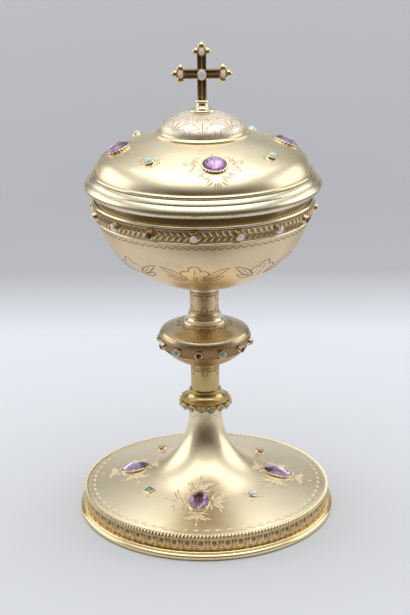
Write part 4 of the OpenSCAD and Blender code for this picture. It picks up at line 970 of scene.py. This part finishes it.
def blade(ground, x, y, heading, length, wide, bend=0.0):
    """A bright leaf, with a soft dark stroke a little below and to the left of it, a painted shade of the cut"""
    leaf(light, ground, x, y, heading, length, wide, bend)
    shade = [(px - 0.42 * wide, py - 0.36 * wide) for px, py in curl(x, y, heading, length, bend)]
    dark_line(dark, ground, shade, 0.66)


def spray(ground, x, y, heading, size):
    c, s = heading_of(heading)
    blade(ground, x, y, heading, 6.0 * size, 1.4 * size)
    blade(ground, x + 7 * size * c, y + 7 * size * s, heading, 2.6 * size, 1.1 * size)
    for side in SIDES:
        for along, out, turn, length, wide, bend in BLADES:
            dx, dy = along * size, out * side * size
            blade(ground, x + dx * c - dy * s, y + dx * s + dy * c, heading + turn * side, length * size, wide * size,
                  bend * side)


print("a spray has", 2 + 2 * len(BLADES), "leaves")

# %% Sprays round the stones
SPRAYS = [(0, -9.8, -90, 1.05), (0, 9.6, 90, 1.0), (7.6, 0, 0, 1.2), (-7.6, 0, 180, 1.2)]
TINY_R, TINY_BLADES = 3.1, [(-18, 2.8, 0.9, 30), (22, 2.3, 0.7, -30)]
seat_along = foot.along_at(FOOT_R)
for i in range(4):
    ground = foot.bench(FOOT_TURN + 90 * i, seat_along)
    for x, y, heading, size in SPRAYS:
        spray(ground, x, y, heading, size)
for turn in SMALL_TURNS.values():
    ground = foot.bench(turn, seat_along)
    for heading in (45, 135, 225, 315):
        c, s = heading_of(heading)
        for swing, length, wide, bend in TINY_BLADES:
            blade(ground, TINY_R * c, TINY_R * s, heading + swing, length, wide, bend)
engraved(light, "foot_sprays", STAND, frosted_cut)
engraved(dark, "foot_spray_shades", STAND, shade_cut)

# %% Wavy border
WAVES, WAVE_R = 68, 62.6
light, dark = bmesh.new(), bmesh.new()
ground = foot.bench(0, foot.along_at(WAVE_R))
wave = 2 * math.pi * WAVE_R / WAVES
stroke(dark, ground, [(wave * (k / 12 - 0.5), 0.6 * math.sin(math.pi * k / 6) - 0.5) for k in range(13)], 0.4)
leaf(light, ground, -0.3 * wave, 0.1, 24, 3.6, 1.4, -20)
engraved(light, "foot_border", STAND, frosted_cut, WAVES)
engraved(dark, "foot_border_wave", STAND, soft_cut, WAVES)

# %% [markdown]
# ## Scrolls on the lid
# Each amethyst of the lid has leafy C-scrolls to its left and right and a fan below it, where two scrolls meet.
# Each turquoise has four leaf tips and small curls. One side of a drawing is listed, and the other is its mirror
# image, as an engraver would trace it. The cupola is covered with fine scrolls and has a hatched edge.

# %% A scroll and its mirror image
# x, y, heading, length and bend
SCROLLS = [(7.2, 1.6, 52, 9.5, -300), (7.6, -0.6, 6, 10.0, 290), (7.0, -2.6, -50, 9.0, 300),
           (12.0, 1.2, 60, 6.0, -260), (5.6, -5.2, -40, 9.0, -280), (2.2, -7.0, -62, 11.0, 300),
           (9.6, -5.4, -50, 6.5, 280), (5.4, 5.4, 60, 6.5, -270)]
SCROLL_LEAVES = [(8.6, 0.6, 20, 3.4, 40), (10.4, -1.8, -24, 3.2, -40), (12.6, 0.2, 8, 3.4, 30),
                 (7.4, -6.4, -60, 3.4, 40), (3.0, -9.0, -70, 4.2, 40), (1.0, -11.6, -72, 4.0, -20),
                 (2.0, -11.0, -50, 4.2, 30), (9.0, 3.4, 46, 3.2, 40)]


def swung(side, heading):
    """The heading, or its mirror image on the left side"""
    return 90 - side * (90 - heading)


def scrolls(bm, ground, side, rows, wide):
    for x, y, heading, length, bend in rows:
        stroke(bm, ground, curl(side * x, y, swung(side, heading), length, side * bend, tighten=0.75, steps=16), wide)


print("strokes beside an amethyst:", 2 * len(SCROLLS + SCROLL_LEAVES))

# %% Dome engraving
TURQUOISE_CURLS = [(2.9, 0.8, 40, 6.5, -290), (2.9, -0.8, -40, 6.5, 290)]
bm = bmesh.new()
seat_along = dome.along_at(LID_R)
for i in range(4):
    ground = dome.bench(LID_TURN + 90 * i, seat_along)
    for side in SIDES:
        scrolls(bm, ground, side, SCROLLS, 0.62)
        for x, y, heading, length, bend in SCROLL_LEAVES:
            leaf(bm, ground, side * x, y, swung(side, heading), length, 0.9, side * bend)
    leaf(bm, ground, 0, -11.4, -90, 4.8, 1.1)
    leaf(bm, ground, 0, 7.2, 90, 3.6, 0.9)
    ground = dome.bench(LID_TURN + 45 + 90 * i, seat_along)
    for heading in (40, 140, 220, 320):
        c, s = heading_of(heading)
        leaf(bm, ground, 3.0 * c, 3.0 * s, heading, 3.0, 1.0)
    for side in SIDES:
        scrolls(bm, ground, side, TURQUOISE_CURLS, 0.5)
engraved(bm, "lid_scrolls", LID, soft_cut)

# %% Cupola engraving
bm = bmesh.new()
ground = cupola.bench(0, 2.4)
for side in SIDES:
    stroke(bm, ground, curl(0.6 * side, 1.0, swung(side, 56), 11.0, -side * 220, tighten=0.8, steps=14), 0.4)
    stroke(bm, ground, curl(1.0 * side, 8.0, swung(side, 20), 7.0, side * 230, tighten=0.8, steps=12), 0.36)
    leaf(bm, ground, 1.2 * side, 3.0, swung(side, 40), 4.0, 0.9, side * 40)
    leaf(bm, ground, 3.4 * side, 5.6, swung(side, 70), 4.2, 0.8, -side * 50)
leaf(bm, ground, 0, 1.5, 90, 8.0, 1.1)
engraved(bm, "cupola_scrolls", LID, soft_cut, 8)
bm = bmesh.new()
stroke(bm, cupola.bench(0, 1.0), [(0, 0), (0.35, 0.8), (0.7, 1.6)], 0.3)
engraved(bm, "cupola_hatch", LID, soft_cut, 96)

# %% [markdown]
# ## Lines on bowl, band, stem and knop
# The bowl carries eight palmettes between pairs of long leaves, drawn in thin dark outline, and a scalloped
# line under its band. The band is a chain of laurel leaves in pairs. Stems and knop have leaf ends, and the knop
# also a row of short slanting cuts. One repeat of each is drawn and spun round, as the engraver divided the round.

# %% Bowl engraving
def outline_leaf(bm, ground, x, y, heading, length, wide, bend):
    spine = curl(x, y, heading, length, bend, steps=10)
    for side in SIDES:
        swell = [side * wide / 2 * math.sin(math.pi * (k / 10) ** 0.85) for k in range(11)]
        dark_line(bm, ground, [beside(spine, k, out) for k, out in enumerate(swell)], 0.5)
    dark_line(bm, ground, spine[1:8], 0.34)


def arc(x, y, r, start, end, steps=12):
    turns = [math.radians(start + (end - start) * k / steps) for k in range(steps + 1)]
    return [(x + r * math.cos(turn), y + r * math.sin(turn)) for turn in turns]


bm = bmesh.new()
ground = bowl.bench(-6, bowl.along_at(42.0))
for side in SIDES:
    outline_leaf(bm, ground, 3.4 * side, 1.0, 90 - side * 46, 18.5, 3.6, side * -14)
    outline_leaf(bm, ground, 4.2 * side, 0.4, 90 - side * 74, 12.0, 3.0, side * 18)
    dark_line(bm, ground, arc(4.7 * side, 7.2, 2.6, 90 - side * -40, 90 - side * 190), 0.52)
    dark_line(bm, ground, arc(0, 10.2, 3.1, 90, 90 - side * 118), 0.54)
    dark_line(bm, ground, arc(3.4 * side, 3.4, 1.6, 90 - side * 10, 90 - side * 190), 0.46)
    dark_line(bm, ground, curl(0.6 * side, -0.4, 90 - side * 8, 5.6, side * 16, steps=6), 0.42)
dark_line(bm, ground, curl(0, 6.4, 90, 4.6, steps=6), 0.36)
engraved(bm, "bowl_leaves", STAND, dark_cut, 8)

SWAGS, SWAG_R = 84, 55.2
bm = bmesh.new()
swag = 2 * math.pi * SWAG_R / SWAGS
dark_line(bm, bowl.bench(0, bowl.along_at(SWAG_R)),
          [(swag * (k / 8 - 0.5), -1.5 * math.sin(math.pi * k / 8)) for k in range(9)], 0.42)
engraved(bm, "bowl_swags", STAND, dark_cut, SWAGS)

# %% Laurel on the band
LAUREL, SLANT = 112, 138
raised, sunk = bmesh.new(), bmesh.new()
ground = band.bench(0, 3.67)
pitch = 2 * math.pi * BAND_R / LAUREL
for side in SIDES:
    cut(raised, ground, curl(0.5 * pitch, 0.1 * side, side * SLANT, 3.9, -side * 16),
        lambda t: 1.5 * math.sin(math.pi * t ** 0.8) ** 0.7 + 0.02, lift=0.03, ridge=0.3)
    cut(sunk, ground, curl(0, 0.1 * side, side * SLANT, 3.9, -side * 16),
        lambda t: 0.7 * math.sin(math.pi * t) + 0.02, lift=0.015, ridge=0.01)
engraved(raised, "band_laurel", STAND, stem_gilding, LAUREL)
engraved(sunk, "band_gouges", STAND, dark_cut, LAUREL)

# %% Stem engraving
def tube_leaves(bm, ground, up):
    for side in SIDES:
        dark_line(bm, ground, curl(0.2 * side, 0.6 * up, up * (90 - side * 20), 3.4, up * -side * 130, 0.3), 0.34)
        dark_line(bm, ground, curl(1.6 * side, 0.4 * up, up * (90 - side * 12), 4.6, up * side * 60, 0.3), 0.34)
        dark_line(bm, ground, curl(3.4 * side, 0.4 * up, up * 90, 3.0, up * -side * 150, 0.5), 0.3)
    dark_line(bm, ground, [(-4.1 + 0.82 * k, 0) for k in range(11)], 0.4)


bm = bmesh.new()
tube_leaves(bm, low_tube.bench(0, low_tube.marks[-1] - 1.5), -1)
tube_leaves(bm, high_tube.bench(0, high_tube.marks[-1] - 1.2), -1)
tube_leaves(bm, high_tube.bench(0, 0.9), 1)
engraved(bm, "stem_leaves", STAND, dark_cut, 6)

# %% Knop and neck engraving
bm = bmesh.new()
ground = knop.bench(0, knop.along_at(12.0))
for side in SIDES:
    dark_line(bm, ground, curl(0, -0.4, -90 + 24 * side, 5.2, 60 * side), 0.4)
    dark_line(bm, ground, curl(2.2 * side, -0.4, -90 - 30 * side, 3.4, 120 * side, 0.4), 0.36)
repeat_round(bm, 12)
for turn in range(0, 360, 3):
    dark_line(bm, knop.bench(turn, 2.0), [(-0.35, -0.5), (0, 0), (0.35, 0.5)], 0.55)
engraved(bm, "knop_leaves", STAND, dark_cut)

bm = bmesh.new()
ground = foot.bench(0, foot.marks[-1] - 0.6)
point = math.pi * 8.95 / 6
for side in SIDES:
    for wide, low, fall, thick in ((1, -1.4, 0.58, 0.32), (0.62, -1.0, 0.36, 0.24)):
        dark_line(bm, ground, [(side * point * (wide - wide * k / 6), low - fall * k) for k in range(7)], thick)
engraved(bm, "neck_leaves", STAND, soft_cut, 6)

# %% [markdown]
# ## Fastenings
# A tie rod with washer and nut pulls foot, stem and cup together, and a stud with its own washer and nut holds
# the cross on the cupola. They hide inside, so the solids stay, with brass on them, and rod and stud get a cut
# thread. A thread is two sides of a small triangle, spun upwards as it goes round.

# %% Threads and the solids that stay
def thread(name, body, r, low, high, pitch):
    bm = bmesh.new()
    corners = [bm.verts.new((r + dr, 0, low + dz)) for dr, dz in ((-0.05, 0.0), (0.25, 0.5 * pitch), (-0.05, pitch))]
    profile = [bm.edges.new(pair) for pair in zip(corners, corners[1:])]
    rounds = (high - low) / pitch - 1
    steps = round(rounds * 24)
    bmesh.ops.spin(bm, geom=corners + profile, cent=(0, 0, 0), axis=AXIS, dvec=(0, 0, pitch * rounds / steps),
                   angle=2 * math.pi * rounds, steps=steps)
    hand_over(bm, name, body, fastener_brass)


thread("tie_rod_thread", STAND, r=2.5, low=48.9, high=50.7, pitch=0.5)
thread("stud_thread", LID, r=1.5, low=216.2, high=217.0, pitch=0.35)
FASTENINGS = ("tie_rod", "tie_washer", "tie_nut", "cross_washer", "cross_nut")
STAYING = {"foot_gallery": stamped_gilding, **dict.fromkeys(FASTENINGS, fastener_brass)}
for name, finish in STAYING.items():
    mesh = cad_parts[name].data
    mesh.materials.clear()
    mesh.materials.append(finish)
print("solids that stay:", sorted(STAYING))

# %% [markdown]
# ## Studio
# The object stands on a pale paper sweep under soft light: one large softbox overhead and one on each side. The
# paper is light near the object and is painted grey where it rises behind, a painted shade. Bright metal needs
# something dark to mirror, or it looks like plaster, so rays that bounce off metal see the paper darker in front
# and at the sides. From behind, the paper is see-through, so the object can be looked at from all round.

# %% Paper sweep
HALF_WIDE, FRONT_Y, BEND_Y, BEND_R, WALL_TALL = 2.4, -2.2, 0.55, 0.4, 0.12
bm = bmesh.new()
bm.edges.new([bm.verts.new((x, FRONT_Y, 0)) for x in (-HALF_WIDE, HALF_WIDE)])
strip = bmesh.ops.extrude_edge_only(bm, edges=bm.edges[:])["geom"]
bmesh.ops.translate(bm, vec=(0, BEND_Y - FRONT_Y, 0), verts=only(BMVert, strip))
last = only(BMEdge, strip)
bend = bmesh.ops.spin(bm, geom=last + [v for edge in last for v in edge.verts], cent=(0, BEND_Y, BEND_R),
                      axis=(1, 0, 0), angle=math.radians(90), steps=16)["geom_last"]
strip = bmesh.ops.extrude_edge_only(bm, edges=only(BMEdge, bend))["geom"]
bmesh.ops.translate(bm, vec=(0, 0, WALL_TALL), verts=only(BMVert, strip))
bmesh.ops.recalc_face_normals(bm, faces=bm.faces)
if min(face.normal.z for face in bm.faces) < -0.5:
    bmesh.ops.reverse_faces(bm, faces=bm.faces)
paper_mesh = bpy.data.meshes.new("paper_sweep")
bm.to_mesh(paper_mesh)
bm.free()
paper_mesh.shade_smooth()
paper = new_object("paper_sweep", paper_mesh)
print("paper sweep:", len(paper_mesh.polygons), "faces")

# %% Paper
FLOOR_NEAR, FLOOR_FAR = (0.65, 0.665, 0.695, 1), (0.69, 0.71, 0.75, 1)
WALL_LOW, WALL_HIGH, WALL_MIRRORED = (0.425, 0.43, 0.455, 1), (0.66, 0.665, 0.69, 1), (0.62, 0.625, 0.65, 1)
DARK_MIRRORED, FIBRE_TONE = (0.14, 0.10, 0.06, 1), (0.5, 0.5, 0.5, 1)
material, tree, shader = new_material("paper", (0.75, 0.76, 0.79))
place = place_on(tree)
x, y, z = parts_of(tree, place)
mirrored = add_node(tree, "ShaderNodeLightPath").outputs["Is Glossy Ray"]
risen = spread(tree, y, 0.28, 0.42)
floor = blend(tree, spread(tree, y, -0.1, 0.25), FLOOR_NEAR, FLOOR_FAR)
# painted shade: the paper greys from a little behind the object, darkest where it begins to rise and paler higher up
tone = blend(tree, risen, floor, blend(tree, spread(tree, z, 0.0, 0.3), WALL_LOW, WALL_HIGH))
from_middle = maths(tree, "ABSOLUTE", x)
aside = spread(tree, from_middle, 0.2, 0.6, 0.0, 0.85)
strip_behind = maths(tree, "MINIMUM", spread(tree, y, 0.07, 0.17), spread(tree, y, 0.42, 0.3))
half_aside = maths(tree, "MULTIPLY", spread(tree, from_middle, 0.05, 0.17, 0.0, 0.42), strip_behind)
in_front = spread(tree, y, -0.125, -0.225)
darkened = maths(tree, "MAXIMUM", maths(tree, "MAXIMUM", aside, half_aside), in_front)
tone = blend(tree, maths(tree, "MULTIPLY", risen, mirrored), tone, WALL_MIRRORED)
tone = blend(tree, maths(tree, "MULTIPLY", darkened, mirrored), tone, DARK_MIRRORED)
fibre = spread(tree, noise(tree, place, 900, 2), 0.3, 0.7, 0.0, 0.03)
tree.links.new(blend(tree, fibre, tone, FIBRE_TONE), shader.inputs["Base Color"])
shader.inputs["Roughness"].default_value = 0.9
shader.inputs["Specular IOR Level"].default_value = 0.1
from_behind = add_node(tree, "ShaderNodeNewGeometry").outputs["Backfacing"]
unseen = add_node(tree, "ShaderNodeBsdfTransparent").outputs[0]
either = add_node(tree, "ShaderNodeMixShader", [(0, from_behind), (1, shader.outputs[0]), (2, unseen)]).outputs[0]
tree.links.new(either, tree.nodes["Material Output"].inputs["Surface"])
paper_mesh.materials.append(material)
print("paper finish with", len(tree.nodes), "nodes")

# %% Softboxes
AIM = Vector((0, 0, 0.13))


def softbox(name, place, wide, tall, level):
    lamp = bpy.data.lights.new(name, "AREA")
    lamp.shape, lamp.size, lamp.size_y = "RECTANGLE", wide, tall
    lamp.energy = level * math.pi * wide * tall
    box = new_object(name, lamp)
    facing = (AIM - Vector(place)).to_track_quat("-Z", "Y").to_matrix().to_4x4()
    box.matrix_world = Matrix.Translation(place) @ facing
    box.visible_camera = False


softbox("overhead_softbox", (0, -0.05, 1.3), wide=1.7, tall=1.7, level=1.05)
softbox("left_softbox", (-0.92, 0.30, 0.36), wide=0.95, tall=0.62, level=1.45)
softbox("right_softbox", (0.93, 0.26, 0.38), wide=0.95, tall=0.66, level=1.3)

# %% [markdown]
# ## Room
# Round the paper stands a plain room that the metal mirrors: bright above, dim and warm low down in front. A
# picture of a room could light it, but two gradients are enough. The camera itself sees a plain pale tone there,
# so the background stays quiet from every side.

# %% Light of the room
WARM, COOL, PLAIN = (1.0, 0.76, 0.48, 1), (0.98, 0.99, 1.0, 1), (0.97, 0.98, 1.0, 1)
PLAIN_LEVEL = 0.7
room = bpy.data.worlds.new("room")
bpy.context.scene.world = room
room.use_nodes = True
tree = room.node_tree
x, y, z = parts_of(tree, add_node(tree, "ShaderNodeTexCoord").outputs["Generated"])
seen = add_node(tree, "ShaderNodeLightPath").outputs["Is Camera Ray"]
bright_side = maths(tree, "MAXIMUM", spread(tree, y, -0.9, -0.35, 0.15, 1.0), spread(tree, z, 0.3, 0.62))
level = maths(tree, "MULTIPLY", spread(tree, z, 0.3, 0.95, 0.32, 0.97), bright_side)
strength = maths(tree, "MAXIMUM", level, maths(tree, "MULTIPLY", seen, PLAIN_LEVEL))
colour = blend(tree, seen, blend(tree, bright_side, WARM, COOL), PLAIN)
tree.links.new(strength, tree.nodes["Background"].inputs["Strength"])
tree.links.new(colour, tree.nodes["Background"].inputs["Color"])
print("room light with", len(tree.nodes), "nodes")
